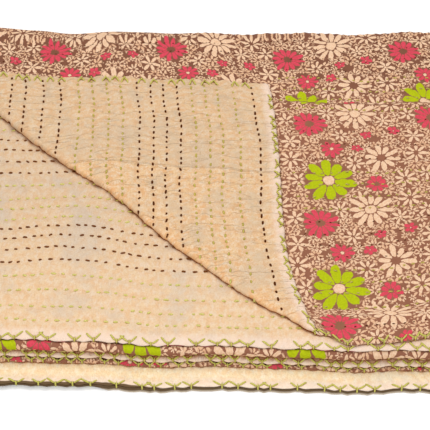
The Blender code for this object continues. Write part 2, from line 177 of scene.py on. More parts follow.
class QuiltClothSettings(bpy.types.PropertyGroup):
    """The two cloths."""

    puff: length_property("Puff", "How far the cloth stands up between two rows", 0.0009)
    dip: length_property("Dip", "How far a row of stitches pulls the cloth down", 0.0007)
    pucker: length_property("Pucker", "Height of the small puckers that the thread gathers", 0.00042)
    scallop: length_property("Scallop", "How far each hem stitch pulls the edge in", 0.0018)
    shown_edge: length_property("Shown edge", "How far the print shows past the lowest cream hem", 0.0006)
    padding: length_property("Padding", "How far the lowest hem is filled out below", 0.0060)
    spread: length_property("Spread", "How far the lowest hem spreads on the floor", 0.0016)
    ground: colour_property("Ground", "Ground of the print", "#97644D")
    petal: colour_property("Petal", "Pale petals of the print", "#E6C5A6")
    coral: colour_property("Coral", "Red petals of the print", "#D64A5A")
    lime: colour_property("Lime", "Green petals of the print", "#AFB914")
    cream: colour_property("Cream", "The plain cloth", "#E3C59F")
    peach: colour_property("Peach", "Warmer patches in the plain cloth", "#DEB286")
    pale: colour_property("Pale", "Paler patches in the plain cloth", "#E6D3BD")


class QuiltSewingSettings(bpy.types.PropertyGroup):
    """The threads."""

    stitch_pitch: length_property("Stitch pitch", "From one running stitch to the next", 0.0112)
    stitch_length: length_property("Stitch length", "Length of a running stitch", 0.0052)
    thread: length_property("Thread", "Radius of the running thread", 0.00125)
    hem_pitch: length_property("Hem pitch", "From one hem stitch to the next", 0.0220)
    close_pitch: length_property("Close pitch", "The same along sheet A's hem and both ends", 0.0170)
    hem_arm: length_property("Hem arm", "How far a hem stitch reaches in from the edge", 0.0080)
    hem_thread: length_property("Hem thread", "Radius of the hem thread", 0.0010)
    brown: colour_property("Brown", "Brown running thread", "#5E2D07")
    faded_brown: colour_property("Brown below the corner", "The same on the layer below the corner", "#7E4A22")
    green: colour_property("Green", "Green running thread", "#CDBC62")
    faded_green: colour_property("Green below the corner", "The same on the layer below the corner", "#E6DC84")
    hem_green: colour_property("Hem green", "Thread of the hem stitches", "#D8D06A")


class QuiltStudioSettings(bpy.types.PropertyGroup):
    """The studio."""

    floor: colour_property("Floor", "The plain floor", "#FFFFFF")
    lens: bpy.props.FloatProperty(
        name="Lens", description="Focal length of the camera", default=94.6, unit="CAMERA"
    )
    elevation: bpy.props.FloatProperty(
        name="Elevation", description="How high the camera looks down from",
        default=math.radians(48.5), subtype="ANGLE",
    )
    distance: length_property("Distance", "From the camera to what it looks at", 1.356)


# The fold


def ease(start, stop, value):
    """0 before start, 1 after stop, and smooth between; start may be the larger one."""
    t = np.clip((value - start) / (stop - start), 0, 1)
    return t * t * (3 - 2 * t)


def bell(value, middle, width):
    """1 in the middle and 0 far from it."""
    return np.exp(-(((value - middle) / width) ** 2))


def middle_line(u):
    """x, z, and the normal's x and z, of the stack's middle line."""
    right = np.clip((u - FOLD_STARTS[0]) / PITCH, 0, math.pi)
    left = np.clip((u - FOLD_STARTS[1]) / PITCH, 0, math.pi)
    run_1 = np.minimum(u, FOLD_STARTS[0])
    run_2 = np.clip(u - FOLD_STARTS[0] - END_FOLD, 0, RUNS[1])
    run_3 = np.maximum(u - FOLD_STARTS[1] - END_FOLD, 0)
    x = FIRST_END_X + run_1 + PITCH * np.sin(right) - run_2 - PITCH * np.sin(left) + run_3
    z = TOP_PAIR - PITCH * (1 - np.cos(right)) - PITCH * (1 - np.cos(left))
    turn = right - left
    return x, z, np.sin(turn), np.cos(turn)


def front(layer, x):
    """y of a layer's front edge."""
    y, slope = FRONT[layer]
    return y + slope * x


def tucked(u, x):
    """How much of its full width layer 3's tuck has, from 0 to 1."""
    in_run_2 = (u > FOLD_STARTS[0] + END_FOLD) & (u < FOLD_STARTS[1])
    return np.where(in_run_2, np.clip((TUCK_TO - np.abs(x)) / (TUCK_TO - TUCK_FROM), 0, 1), 0)


def runs_at(u):
    """How much a point belongs to run 1, 2 and 3, turning from one to the next at the end folds."""
    after_1 = ease(FOLD_STARTS[0] - FRONT_BLEND, FOLD_STARTS[0] + END_FOLD + FRONT_BLEND, u)
    after_2 = ease(FOLD_STARTS[1] - FRONT_BLEND, FOLD_STARTS[1] + END_FOLD + FRONT_BLEND, u)
    return 1 - after_1, after_1 - after_2, after_2


def hems(u, x):
    """y of sheet A's hem, and of sheet B's as it would lie with nothing tucked under."""
    in_1, in_2, in_3 = runs_at(u)
    swing = SWING_BACK * ease(SWING_FROM, SWING_TO, x)
    a = in_1 * (front("layer 1", x) + swing) + in_2 * front("layer 4", x)
    b = in_1 * front("layer 2", x) + in_2 * (front("layer 3", x) - TUCK * tucked(u, x))
    return a + in_3 * front("layer 5", x), b + in_3 * front("layer 6", x)


def back_fold_start(u, x):
    """v where sheet A starts to turn down into the back fold."""
    a, b = hems(u, x)
    return HALF + (b - a - BACK_FOLD) / 2


def lift(x, y):
    """How far the layers above the tuck are raised by it."""
    ends = np.clip((LIFT_TO - np.abs(x)) / (LIFT_TO - LIFT_FROM), 0, 1)
    return LIFT * ends * ease(LIFT_BACK, LIFT_FRONT, y)


def droop(x, y):
    """How far the top pair sinks where it reaches past the back fold of the pair below it."""
    ends = np.clip((DROOP_ENDS[1] - np.abs(x)) / (DROOP_ENDS[1] - DROOP_ENDS[0]), 0, 1)
    return DROOP * ends * ease(DROOP_FROM, DROOP_TO, y)


def sag(u, v):
    """How far a hem sinks towards the layer below."""
    return SAG * np.where(v > HALF, ease(SAG_REACH, 0, WIDTH - v) * runs_at(u)[0], ease(SAG_REACH, 0, v))


def curl_up(u, v, x):
    """How far the lowest layer's hem is off the floor."""
    run_3 = FOLD_STARTS[1] + END_FOLD
    lowest = ease(run_3, run_3 + FRONT_BLEND, u) * (v > HALF)
    return LIP * (1 - LIP_SLOPE * x) * ease(LIP_REACH, 0, WIDTH - v) * lowest


def from_crease(x, y):
    """How far a point is along the crease, and beyond it towards the corner."""
    from_x, from_y = x - CREASE_POINT[0], y - CREASE_POINT[1]
    along = from_x * ALONG[0] + from_y * ALONG[1]
    return along, from_x * TO_CORNER[0] + from_y * TO_CORNER[1]


def turn_corner(x, y, n):
    """Turns layer 1's corner back over its crease.

    Gives the new x and y, the height above layer 1, which way the cloth faces (from 1 to -1 where it
    is turned over), and how much it settles on layer 2 (from 0 to 1 at the crease)."""
    along, beyond = from_crease(x, y)
    angle = np.clip(beyond / CREASE_RADIUS, 0, math.pi)
    flat = np.maximum(beyond - math.pi * CREASE_RADIUS, 0)
    across = np.minimum(beyond, 0) + (CREASE_RADIUS - n) * np.sin(angle) - flat
    height = CREASE_RADIUS - (CREASE_RADIUS - n) * np.cos(angle)
    turned = ease(-TURN_EASE, 0, beyond)
    wave = 1 - np.cos((along - SWAY_START) * math.tau / SWAY_LENGTH)
    sway = END_SWAY * ease(END_SWAY_FROM, END_SWAY_TO, along) + SWAY * wave
    across = across - sway * bell(across, 0, SWAY_REACH) * turned
    settled = ease(-SETTLE_REACH, 0, across + sway)
    x = CREASE_POINT[0] + along * ALONG[0] + across * TO_CORNER[0]
    y = CREASE_POINT[1] + along * ALONG[1] + across * TO_CORNER[1]
    pull = PULL * bell(y, PULL_AT, PULL_SIZE) * ease(PULL_FROM, PULL_TO, y) * turned
    slide = bell(across, 0, SLIDE_REACH) * ALONG[1] / ALONG[0]
    return x - pull, y - pull * slide, height, np.cos(angle), settled


def uneven(x, y, z):
    """The soft unevenness of a stack laid down by hand. The floor stays flat."""
    pull = MIDDLE_PULL * ease(*MIDDLE_LEFT, x) * ease(*MIDDLE_RIGHT, x)
    pull = pull + sum(size * ease(start, stop, x) for size, start, stop in BACK_PULLS)
    pull = pull - BACK_DENT[0] * bell(x, *BACK_DENT[1:])
    y = y + pull * ease(-HALF / 2, HALF / 2, y)
    y = y + sum(size * np.sin(x * turn + start) for size, turn, start in Y_WAVES)
    x = x + X_WAVE[0] * np.sin(y * X_WAVE[1] + X_WAVE[2])
    x_turn, x_start, y_turn, y_start = SWELL_WAVES
    swell = SWELL * np.sin(x * x_turn + x_start) * np.cos(y * y_turn + y_start)
    ripple = RIPPLE * np.sin(x * RIPPLE_TURNS[0] + y * RIPPLE_TURNS[1])
    rumple = sum(size * np.sin(x * along + y * across + start) for size, along, across, start in RUMPLES)
    loft = BACK_LOFT * ease(LOFT_FROM, LOFT_TO, y)
    return x, y, z * (1 + swell + ripple + loft + rumple)


def fold(u, v, n):
    """The place in the folded stack of each point (u, v, n) of the flat cloth."""
    x, z, normal_x, normal_z = middle_line(u)
    hem_a, _ = hems(u, x)
    start = back_fold_start(u, x)
    on_b = v > start + BACK_FOLD / 2
    turn = np.clip((v - start) / SHEET_OFFSET, 0, math.pi)
    past_fold = np.maximum(v - start - BACK_FOLD, 0)
    y = hem_a + np.minimum(v, start) + (SHEET_OFFSET + n) * np.sin(turn) - past_fold
    offset = (SHEET_OFFSET + n) * np.cos(turn)

    # Layer 3's hem curls under, in the room that the lift makes.
    tuck = tucked(u, x)
    curled = TUCKED_CLOTH * tuck - (WIDTH - v)
    curling = on_b & (tuck > 0) & (curled > 0)
    curl = np.where(curling, np.clip(curled / TUCK_RADIUS, 0, math.pi), 0)
    back_again = np.maximum(curled - math.pi * TUCK_RADIUS, 0)
    y = np.where(curling, y + curled - (TUCK_RADIUS + n) * np.sin(curl) + back_again, y)
    drop = (TUCK_RADIUS + n) * (1 - np.cos(curl))
    middle_run = (u > FOLD_STARTS[0] + END_FOLD) & (u < FOLD_STARTS[1])
    offset = np.where(on_b & middle_run, offset - lift(x, y) + drop, offset)

    # Layer 1's corner is turned back.
    first_run = u < FOLD_STARTS[0]
    corner = first_run & (v < start)
    corner_x, corner_y, height, facing, settled = turn_corner(x, y, n)
    x = np.where(corner, corner_x, x)
    y = np.where(corner, corner_y, y)
    offset = np.where(corner, SHEET_OFFSET + height, offset)
    z = z + np.where(first_run, lift(x, y) - droop(x, y), 0)
    low = sag(u, v)
    low = np.where(corner, np.maximum(low * (1 + facing) / 2, SAG * settled), low)
    z = z + curl_up(u, v, x) - low
    return uneven(x + offset * normal_x, y, z + offset * normal_z)


# What shows

# How deep in from its hem each layer shows, and how far in layer 2 does under the crease.
SHOWN_DEPTH = {"layer 3": 0.050, "layer 4": 0.012, "layer 5": 0.012, "layer 6": 0.030}
UNDER_CREASE = 0.010
FADE_MARGINS = (0.000, 0.004, 0.008)


def end_depth(u, v):
    """The distance from the nearer end of the quilt."""
    slanted = u + END_SLANT * np.minimum(np.minimum(v, WIDTH - v), SLANT_DEPTH)
    return np.minimum(slanted, LENGTH - u)


def depth_of(v):
    """The distance from the nearer long hem."""
    return np.minimum(v, WIDTH - v)


def shows(side, u, v, margin):
    """Whether a face of the cloth can be seen at a flat point, or within a margin of it."""
    on_a = v < HALF
    depth = depth_of(v)
    run_1 = u < FOLD_STARTS[0]
    run_2 = (u > FOLD_STARTS[0] + END_FOLD) & (u < FOLD_STARTS[1])
    run_3 = u > FOLD_STARTS[1] + END_FOLD
    x = FIRST_END_X + u
    y = np.where(on_a, front("layer 1", x), front("layer 2", x)) + depth
    _, beyond = from_crease(x, y)
    if side == PRINT_SIDE:
        mirror_x, mirror_y = x - 2 * beyond * TO_CORNER[0], y - 2 * beyond * TO_CORNER[1]
        flap = mirror_x > FIRST_END_X - END_SLANT * depth + margin
        flap &= mirror_y > front("layer 1", mirror_x) + margin
        seen = run_1 & on_a & (beyond < margin) & ~flap
        seen |= run_2 & ~on_a & (depth < SHOWN_DEPTH["layer 3"] + margin)
        seen |= run_3 & on_a & (depth < SHOWN_DEPTH["layer 5"] + margin)
        return seen
    seen = run_1 & (beyond > -margin - UNDER_CREASE)
    seen |= run_2 & on_a & (depth < SHOWN_DEPTH["layer 4"] + margin)
    seen |= run_3 & ~on_a & (depth < SHOWN_DEPTH["layer 6"] + margin)
    return seen


def shown(side, u, v):
    """Like shows, but fading from 1 to 0 round what shows."""
    return sum(shows(side, u, v, margin).astype(float) for margin in FADE_MARGINS) / len(FADE_MARGINS)


# The sewing, in flat coordinates

# The rows past the measured ones, up to the back fold, and how many rows have the same colour.
NEXT_ROW, NEXT_ROW_WAVE, NEXT_ROW_TURN = 0.0195, 0.0022, 2.3
NEAR_BACK_FOLD = 0.030
BAND = 4

# How the rows stray. A wave is its size, its length, and how fast its start moves with the depth.
ROW_WAVES = ((0.0016, 0.19, 14), (0.0007, 0.071, 37))
FULL_WAVE = 0.03
# On layer 2 the rows bow inwards and then drop: how far, then where along the row and across it.
BOW, BOW_ALONG, BOW_ACROSS = 0.009, (0.125, 0.050), (0.135, 0.110)
DROP, DROP_ALONG = 0.003, (0.15, 0.25)
BOWED_DEPTH = (0.01, 0.06)
# On the lowest layer the first rows lie further in.
FURTHER_IN, FURTHER_FROM, FURTHER_TO = 0.009, (0.005, 0.02), (0.06, 0.04)

# The unevenness of the stitches: sizes as a share of a stitch, and lengths.
ROW_SHIFT = 0.618
SLOW_SWAY, SLOW_SWAY_LENGTH, SLOW_SWAY_START = 0.16, 0.083, 1.9
QUICK_SWAY, QUICK_SWAY_LENGTH, QUICK_SWAY_START = 0.09, 0.033, 0.7
HEM_SWAYS = ((0.22, 0.107), (0.15, 0.041))

# The relief of a face: the pull of a stitch, and how round the puffs between two rows are.
DIP_BETWEEN, DIP_AT_STITCH, DIP_WIDTH = 0.55, 0.45, 0.0035
ROUNDNESS = 0.8
PLAIN_END = 0.02
# The face at an edge: how it swells, is pinched by a stitch, and curves down.
EDGE_SWELL, PINCH, EDGE_REACH, EDGE_START = 0.0006, 0.0013, 0.010, 0.002
CURVE_DOWN, CURVE_FROM, CURVE_TO = 0.0007, -0.0006, 0.0022
PADDED_DEPTH = 0.006
# Where along the quilt the lowest hem is less filled, and by how much.
LESS_FILLED, LESS_FROM, LESS_TO = 0.75, (1.275, 1.315), (1.560, 1.530)
SCALLOP_REACH = 0.006


def rows_of(sheet):
    """The depths of all rows of a sheet in metres, and which of them are brown."""
    measured, brown_from = (ROWS_A, BROWN_FROM_A) if sheet == "A" else (ROWS_B, BROWN_FROM_B)
    depths = [row / 1000 for row in measured]
    while depths[-1] < HALF - NEAR_BACK_FOLD:
        wave = NEXT_ROW_WAVE * math.sin(len(depths) * NEXT_ROW_TURN)
        depths.append(depths[-1] + NEXT_ROW + wave)
    brown = [(i - brown_from) % (2 * BAND) < BAND for i in range(len(depths))]
    return np.array(depths), np.array(brown)


def row_wave(sheet_b, u, depth):
    """How far a row strays from its straight line."""
    wave = sum(
        size * np.sin(u * math.tau / length + depth * growth) for size, length, growth in ROW_WAVES
    )
    bow = BOW * bell(u, *BOW_ALONG) * bell(depth, *BOW_ACROSS) - DROP * ease(*DROP_ALONG, u)
    bow = np.where(sheet_b & (u < FOLD_STARTS[0]), bow * ease(*BOWED_DEPTH, depth), 0)
    inward = FURTHER_IN * ease(*FURTHER_FROM, depth) * ease(*FURTHER_TO, depth)
    inward = np.where(sheet_b & (u > FOLD_STARTS[1]), inward, 0)
    return wave * ease(0, FULL_WAVE, depth) + bow + inward


def stitch_phase(u, row, pitch):
    """Grows by 1 from one stitch of a row to the next. Whole numbers are stitches on the cream face."""
    slow = SLOW_SWAY * np.sin(u * math.tau / SLOW_SWAY_LENGTH + SLOW_SWAY_START * row)
    quick = QUICK_SWAY * np.sin(u * math.tau / QUICK_SWAY_LENGTH + QUICK_SWAY_START * row * row)
    return u / pitch + ROW_SHIFT * row + (slow + quick)


def long_hem_pitch(v):
    """The pitch of the stitches along the hem of sheet A or of sheet B."""
    sewing = bpy.context.scene.quilt_sewing
    return np.where(v < HALF, sewing.close_pitch, sewing.hem_pitch)


def hem_phase(along, pitch):
    """Grows by 1 from one hem stitch to the next."""
    sways = (size * np.sin(along * math.tau / length) for size, length in HEM_SWAYS)
    return sum(sways, along / pitch)


def knot(along, pitch):
    """1 where a hem stitch wraps the edge, and 0 halfway to the next."""
    return 0.5 + 0.5 * np.cos(math.tau * hem_phase(along, pitch))


def puckers(u, v):
    """Two patterns of small waves that bend each other, which the thread gathers in the cloth.

    Each number that divides u or v is the length that a wave takes for 1, or for 1 radian in a sine."""
    bend = 0.7 * np.sin(v / 0.017) + 0.45 * np.sin(v / 0.0067 + u / 0.031)
    gathered = np.sin(math.tau * (u / 0.0118 + bend))
    crossed = np.sin(u / 0.0082 + 2.1 * np.sin(v / 0.029)) * np.sin(v / 0.0061 + u / 0.043)
    return gathered + crossed


def relief(side, u, v):
    """How far a cloth's face stands above its plain height."""
    cloths = bpy.context.scene.quilt_cloths
    sewing = bpy.context.scene.quilt_sewing
    sheet_b = v > HALF
    depth = depth_of(v)
    straight = depth - row_wave(sheet_b, u, depth)
    height = np.zeros_like(u)
    for is_b, sheet in ((False, "A"), (True, "B")):
        rows, _ = rows_of(sheet)
        rows = np.concatenate([[0.0], rows, [HALF]])
        above = np.clip(np.searchsorted(rows, straight), 1, len(rows) - 1)
        low, high = rows[above - 1], rows[above]
        at = np.clip((straight - low) / (high - low), 0, 1)
        row = np.where(at < 0.5, above - 1, above)
        near = np.minimum(at, 1 - at) * (high - low)
        puff = cloths.puff * np.sin(math.pi * at) ** ROUNDNESS
        phase = stitch_phase(u, row - 1, sewing.stitch_pitch) - (side == PRINT_SIDE) / 2
        sewn = (row > 0) & (row < len(rows) - 1)
        pull = DIP_BETWEEN + DIP_AT_STITCH * np.cos(math.tau * phase)
        dip = cloths.dip * pull * bell(near, 0, DIP_WIDTH) * sewn
        height = np.where(sheet_b == is_b, puff - dip, height)
    height = height + cloths.pucker * puckers(u, v)
    height = height * shown(side, u, v) * ease(LENGTH, LENGTH - PLAIN_END, u)

    # The face curves down to its hem, which is pinched where a stitch wraps it.
    for along, edge, pitch in ((u, depth, long_hem_pitch(v)), (v, end_depth(u, v), sewing.close_pitch)):
        swell = EDGE_SWELL - PINCH * knot(along, pitch)
        height = height + swell * bell(edge, 0, EDGE_REACH) * ease(0, EDGE_START, edge)
        height = height - CURVE_DOWN * (1 - ease(CURVE_FROM, CURVE_TO, edge))
    padded = cloths.padding * filled(u, v) * bell(depth, 0, PADDED_DEPTH)
    return height + padded * (side == PRINT_SIDE)


def in_lowest(u, v):
    """1 in the lowest layer, which is sheet B in run 3."""
    return ease(FOLD_STARTS[1] + END_FOLD, FOLD_STARTS[1] + END_FOLD + FRONT_BLEND, u) * (v > HALF)


def filled(u, v):
    """How much the lowest hem is filled out below: less between its middle and its right end."""
    return in_lowest(u, v) * (1 - LESS_FILLED * ease(*LESS_FROM, u) * ease(*LESS_TO, u))


def scalloped(side, u, v, spread=0.0):
    """The flat point, pulled in towards the quilt's middle where a hem stitch wraps the edge.

    In the lowest layer, the cream cloth stops short of the printed one, which is spread outwards."""
    cloths = bpy.context.scene.quilt_cloths
    pitch = bpy.context.scene.quilt_sewing.close_pitch
    short = cloths.shown_edge * in_lowest(u, v) if side == CREAM_SIDE else -spread * filled(u, v)
    pull = cloths.scallop * knot(u, long_hem_pitch(v)) + short
    inward = np.where(v < HALF, 1, -1)
    new_v = v + inward * pull * np.exp(-depth_of(v) / SCALLOP_REACH)
    way = np.where(u < LENGTH / 2, 1, -1)
    near_end = np.exp(-np.maximum(end_depth(u, v), 0) / SCALLOP_REACH)
    new_u = u + way * cloths.scallop * knot(v, pitch) * near_end
    return new_u, new_v


def place(side, u, v, height, spread=0.0):
    """The place of points that stand a height above a face of the cloth, or below it."""
    flat_u, flat_v = scalloped(side, u, v, spread)
    return np.stack(fold(flat_u, flat_v, side * (OUTER + relief(side, u, v) + height)), axis=-1)


# The cloths' meshes

COARSE = 0.0228  # the cells where nothing shows
END_CELLS, BACK_CELLS = 8, 6  # round the folds at the ends and at the back
LEVELS = (0.026, 0.013, 0.004)  # how far round what shows each refinement reaches
EDGE_LINE = 0.0014
CORNER_CUTS, CREASE_CELLS = 5, 7
BACK_REACH = 0.075  # how far from the back fold the lines still follow it
SHARP = math.radians(65)
SNAP = 1e-6


def stations(*stops):
    """Lines between the stops, each stop a position and how many cells lead up to it."""
    lines = [stops[0][0]]
    for stop, cells in stops[1:]:
        start = lines[-1]
        lines += [start + (stop - start) * (i + 1) / cells for i in range(cells)]
    return lines


def centres(cloth):
    """The flat middle of each face."""
    return np.array([face.calc_center_median()[:2] for face in cloth.faces])


def refine(cloth, side):
    """Cuts the cells finer where a face of the cloth shows, and the folds' cells along them only."""
    for margin in LEVELS:
        u, v = centres(cloth).T
        at_back = np.abs(v - HALF) < BACK_FOLD / 2
        at_end = sum((u > start) & (u < start + END_FOLD) for start in FOLD_STARTS).astype(bool)
        wanted = shows(side, u, v, margin) & ~at_back & ~at_end
        near_hem = (np.minimum(depth_of(v), end_depth(u, v)) < COARSE) & (margin > LEVELS[-1])
        wanted |= near_hem & ~at_end
        edges = set()
        for face, want, back, end in zip(cloth.faces, wanted, at_back, at_end, strict=True):
            if want:
                edges.update(face.edges)
            elif side == PRINT_SIDE and (back or end):
                for edge in face.edges:
                    run = edge.verts[0].co - edge.verts[1].co
                    if abs(run.x if end else run.y) < SNAP:
                        edges.add(edge)
        bmesh.ops.subdivide_edges(cloth, edges=list(edges), cuts=1, use_grid_fill=True)


def cut(cloth, point, normal, where, **options):
    """Adds an edge line across the flat cloth's faces whose centres are where it is wanted."""
    u, v = centres(cloth).T
    faces = [face for face, near in zip(cloth.faces, where(u, v), strict=True) if near]
    edges = {edge for face in faces for edge in face.edges}
    corners = {corner for face in faces for corner in face.verts}
    parts = [*faces, *edges, *corners]
    bmesh.ops.bisect_plane(
        cloth, geom=parts, dist=SNAP, plane_co=(*point, 0), plane_no=(*normal, 0), **options
    )


def trim(cloth):
    """Cuts the first end on its slant, rounds the corners, and adds a line just inside each hem."""
    slant = math.atan(END_SLANT)
    for hem, inward in ((0, 1), (WIDTH, -1)):
        out = (-math.cos(slant), -inward * math.sin(slant))
        cut(cloth, (0, hem), out, lambda u, v: u < 2 * COARSE, clear_outer=True)
        inside = (EDGE_LINE / math.cos(slant), hem)
        cut(cloth, inside, out, lambda u, v: (u < COARSE) & ((v < HALF) == (inward > 0)))
        cut(cloth, (0, hem + inward * EDGE_LINE), (0, 1), lambda u, v: depth_of(v) < COARSE)
        for end, way in ((0, 1), (LENGTH, -1)):
            centre = (end + way * CORNER_RADIUS, hem + inward * CORNER_RADIUS)

            def near(u, v):
                return (abs(u - end) < 2 * COARSE) & (abs(v - hem) < 2 * COARSE)

            for step in range(CORNER_CUTS):
                angle = (step + 0.5) * math.pi / (2 * CORNER_CUTS)
                out = (-way * math.cos(angle), -inward * math.sin(angle))
                point = [c + CORNER_RADIUS * o for c, o in zip(centre, out, strict=True)]
                cut(cloth, point, out, near, clear_outer=True)
    cut(cloth, (LENGTH - EDGE_LINE, 0), (1, 0), lambda u, v: u > LENGTH - COARSE)


def crease_lines(cloth):
    """The lines that the turned corner bends on, in sheet A of run 1."""
    slope = FRONT["layer 1"][1]
    hem = front("layer 1", FIRST_END_X)
    normal = (TO_CORNER[0] + slope * TO_CORNER[1], TO_CORNER[1])
    for i in range(CREASE_CELLS + 1):
        beyond = math.pi * CREASE_RADIUS * i / CREASE_CELLS
        u = CREASE_POINT[0] + beyond * TO_CORNER[0] - FIRST_END_X
        point = (u, CREASE_POINT[1] + beyond * TO_CORNER[1] - hem - slope * u)

        def near(u, v):
            _, past = from_crease(FIRST_END_X + u, hem + slope * u + v)
            return (u < FOLD_STARTS[0]) & (v < HALF - BACK_FOLD) & (abs(past) < COARSE)

        cut(cloth, point, normal, near)


def flat_cloth(side):
    """The cut of both cloths, flat, fine enough for what one of them shows."""
    runs = [round(run / COARSE) for run in RUNS]
    u_lines = stations(
        (-LEAN, 0), (0, 3), (FOLD_STARTS[0], runs[0]), (FOLD_STARTS[0] + END_FOLD, END_CELLS),
        (FOLD_STARTS[1], runs[1]), (FOLD_STARTS[1] + END_FOLD, END_CELLS), (LENGTH, runs[2]),
    )
    fold_start = HALF - BACK_FOLD / 2
    cells = round(fold_start / COARSE)
    v_lines = stations((0, 0), (fold_start, cells), (fold_start + BACK_FOLD, BACK_CELLS), (WIDTH, cells))
    cloth = bmesh.new()
    last_u, last_v = len(u_lines) - 1, len(v_lines) - 1
    bmesh.ops.create_grid(cloth, x_segments=last_u, y_segments=last_v, size=0.5)
    for vertex in cloth.verts:
        vertex.co.x = u_lines[round((vertex.co.x + 0.5) * last_u)]
        vertex.co.y = v_lines[round((vertex.co.y + 0.5) * last_v)]
    refine(cloth, side)
    trim(cloth)
    crease_lines(cloth)
    bmesh.ops.triangulate(cloth, faces=cloth.faces[:])
    return cloth


def at_back_fold(u, v):
    """v, shifted so that the lines near the back fold follow it."""
    x = middle_line(u)[0]
    shift = back_fold_start(u, x) - (HALF - BACK_FOLD / 2)
    gap = np.maximum(np.abs(v - HALF) - BACK_FOLD / 2, 0)
    return v + shift * np.clip(1 - gap / BACK_REACH, 0, 1)


def finished(cloth, mesh, material):
    """Turns a bmesh into a piece of the scene."""
    cloth.to_mesh(mesh)
    cloth.free()
    mesh.materials.clear()
    mesh.materials.append(material)
    mesh.shade_smooth()
    piece = bpy.data.objects.new(mesh.name, mesh)
    bpy.context.scene.collection.objects.link(piece)
    return piece


def cloth_piece(name, side, material):
    """One cloth of the quilt: a closed thin sheet, folded, with its flat coordinates as its UV map."""
    cloth = flat_cloth(side)
    made = bmesh.ops.extrude_face_region(cloth, geom=cloth.faces[:])
    cloth.verts.index_update()
    is_outer = np.zeros(len(cloth.verts), bool)
    is_outer[[part.index for part in made["geom"] if isinstance(part, bmesh.types.BMVert)]] = True
    flat = np.array([vertex.co[:2] for vertex in cloth.verts])
    u, v = flat[:, 0], at_back_fold(*flat.T)
    outer = place(side, u, v, 0.0, bpy.context.scene.quilt_cloths.spread)
    flat_u, flat_v = scalloped(side, u, v)
    inner = np.stack(fold(flat_u, flat_v, np.full(len(u), side * CLOTH_GAP / 2)), axis=-1)
    places = np.where(is_outer[:, None], outer, inner)
    places[:, 2] = np.maximum(places[:, 2], 0)
    for vertex, at in zip(cloth.verts, places, strict=True):
        vertex.co = at
    bmesh.ops.recalc_face_normals(cloth, faces=cloth.faces[:])
    piece = finished(cloth, bpy.data.meshes.new(name), material)
    mesh = piece.data
    corners = np.empty(len(mesh.loops), int)
    mesh.loops.foreach_get("vertex_index", corners)
    uv_map = mesh.uv_layers.new(name="Flat")
    uv_map.data.foreach_set("uv", np.stack([u, v], axis=-1)[corners].astype(np.float32).ravel())
    mesh.set_sharp_from_angle(angle=SHARP)
    return piece


# Threads

THREAD_SIDES, THREAD_LEVELS = 6, 7
REACH = 0.0001  # the step that finds which way a thread lies
BLUNT = 1.4  # how soon a thread reaches its full radius
LOWEST = 0.0001  # how far every thread stays off the floor
LINE_STEP = 0.0005  # between the points that a row of stitches is measured at

# A running stitch from end to end: along it, as shares of half of it, and up, as shares of its radius.
STITCH_ARCH = ((-1, -1.6), (-0.72, 0.25), (0, 0.55), (0.72, 0.25), (1, -1.6))
STITCH_LENGTHS = (0.55, 1.35)  # the shortest and the longest, as shares of the usual one
STITCH_TILT = 0.0004
CLEAR_OF_END = 0.008

# An arm of a hem stitch, in the same way, and how unequal the arms are in depth and in width.
HEM_ARM = ((0.04, 0.2), (0.2, 0.6), (0.4, 0.65), (0.6, 0.65), (0.8, 0.55), (0.94, 0.3), (1.06, -1.4))
ARM_DEPTHS, ARM_WIDTHS = (0.8, 1.2), (0.75, 1.15)
# The arms as shares of the pitch along a long hem, and at an end of the quilt.
LONG_DEEPEST, LONG_WIDE = 0.40, 0.84
END_DEEP, END_WIDE = 1.5, 0.62
# Where a hem stitch goes round the edge: how far in its ends are, and where it starts to turn.
WRAP_END, WRAP_TURN, WRAP_EDGE = 0.0050, 0.0028, 0.0002


class Threads:
    """Many short threads on one face of the cloth, gathered to become part of one piece."""

    def __init__(self, side):
        self.side = side
        self.paths = []
        self.sideways = []

    def add(self, path, sideways):
        """path holds the thread's points as (u, v, height), sideways its flat direction across."""
        self.paths.append(path)
        self.sideways.append(sideways)

    def rings(self):
        """The middle, the way across and the way up at each level of each thread."""
        points = np.array(self.paths)
        at = np.linspace(0, points.shape[1] - 1, THREAD_LEVELS)
        first = np.minimum(at.astype(int), points.shape[1] - 2)
        part = (at - first)[None, :, None]
        points = points[:, first] * (1 - part) + points[:, first + 1] * part
        u, v, height = np.moveaxis(points, -1, 0)
        sideways = np.array(self.sideways, float)[:, None, :]
        middle = place(self.side, u, v, height)
        beside = u + REACH * sideways[..., 0], v + REACH * sideways[..., 1]
        across = place(self.side, *beside, height) - middle
        up = np.cross(across, np.gradient(middle, axis=1))
        return middle, unit(across), unit(up)


def unit(vectors):
    """The vectors, each made 1 long."""
    return vectors / np.maximum(np.linalg.norm(vectors, axis=-1, keepdims=True), 1e-12)


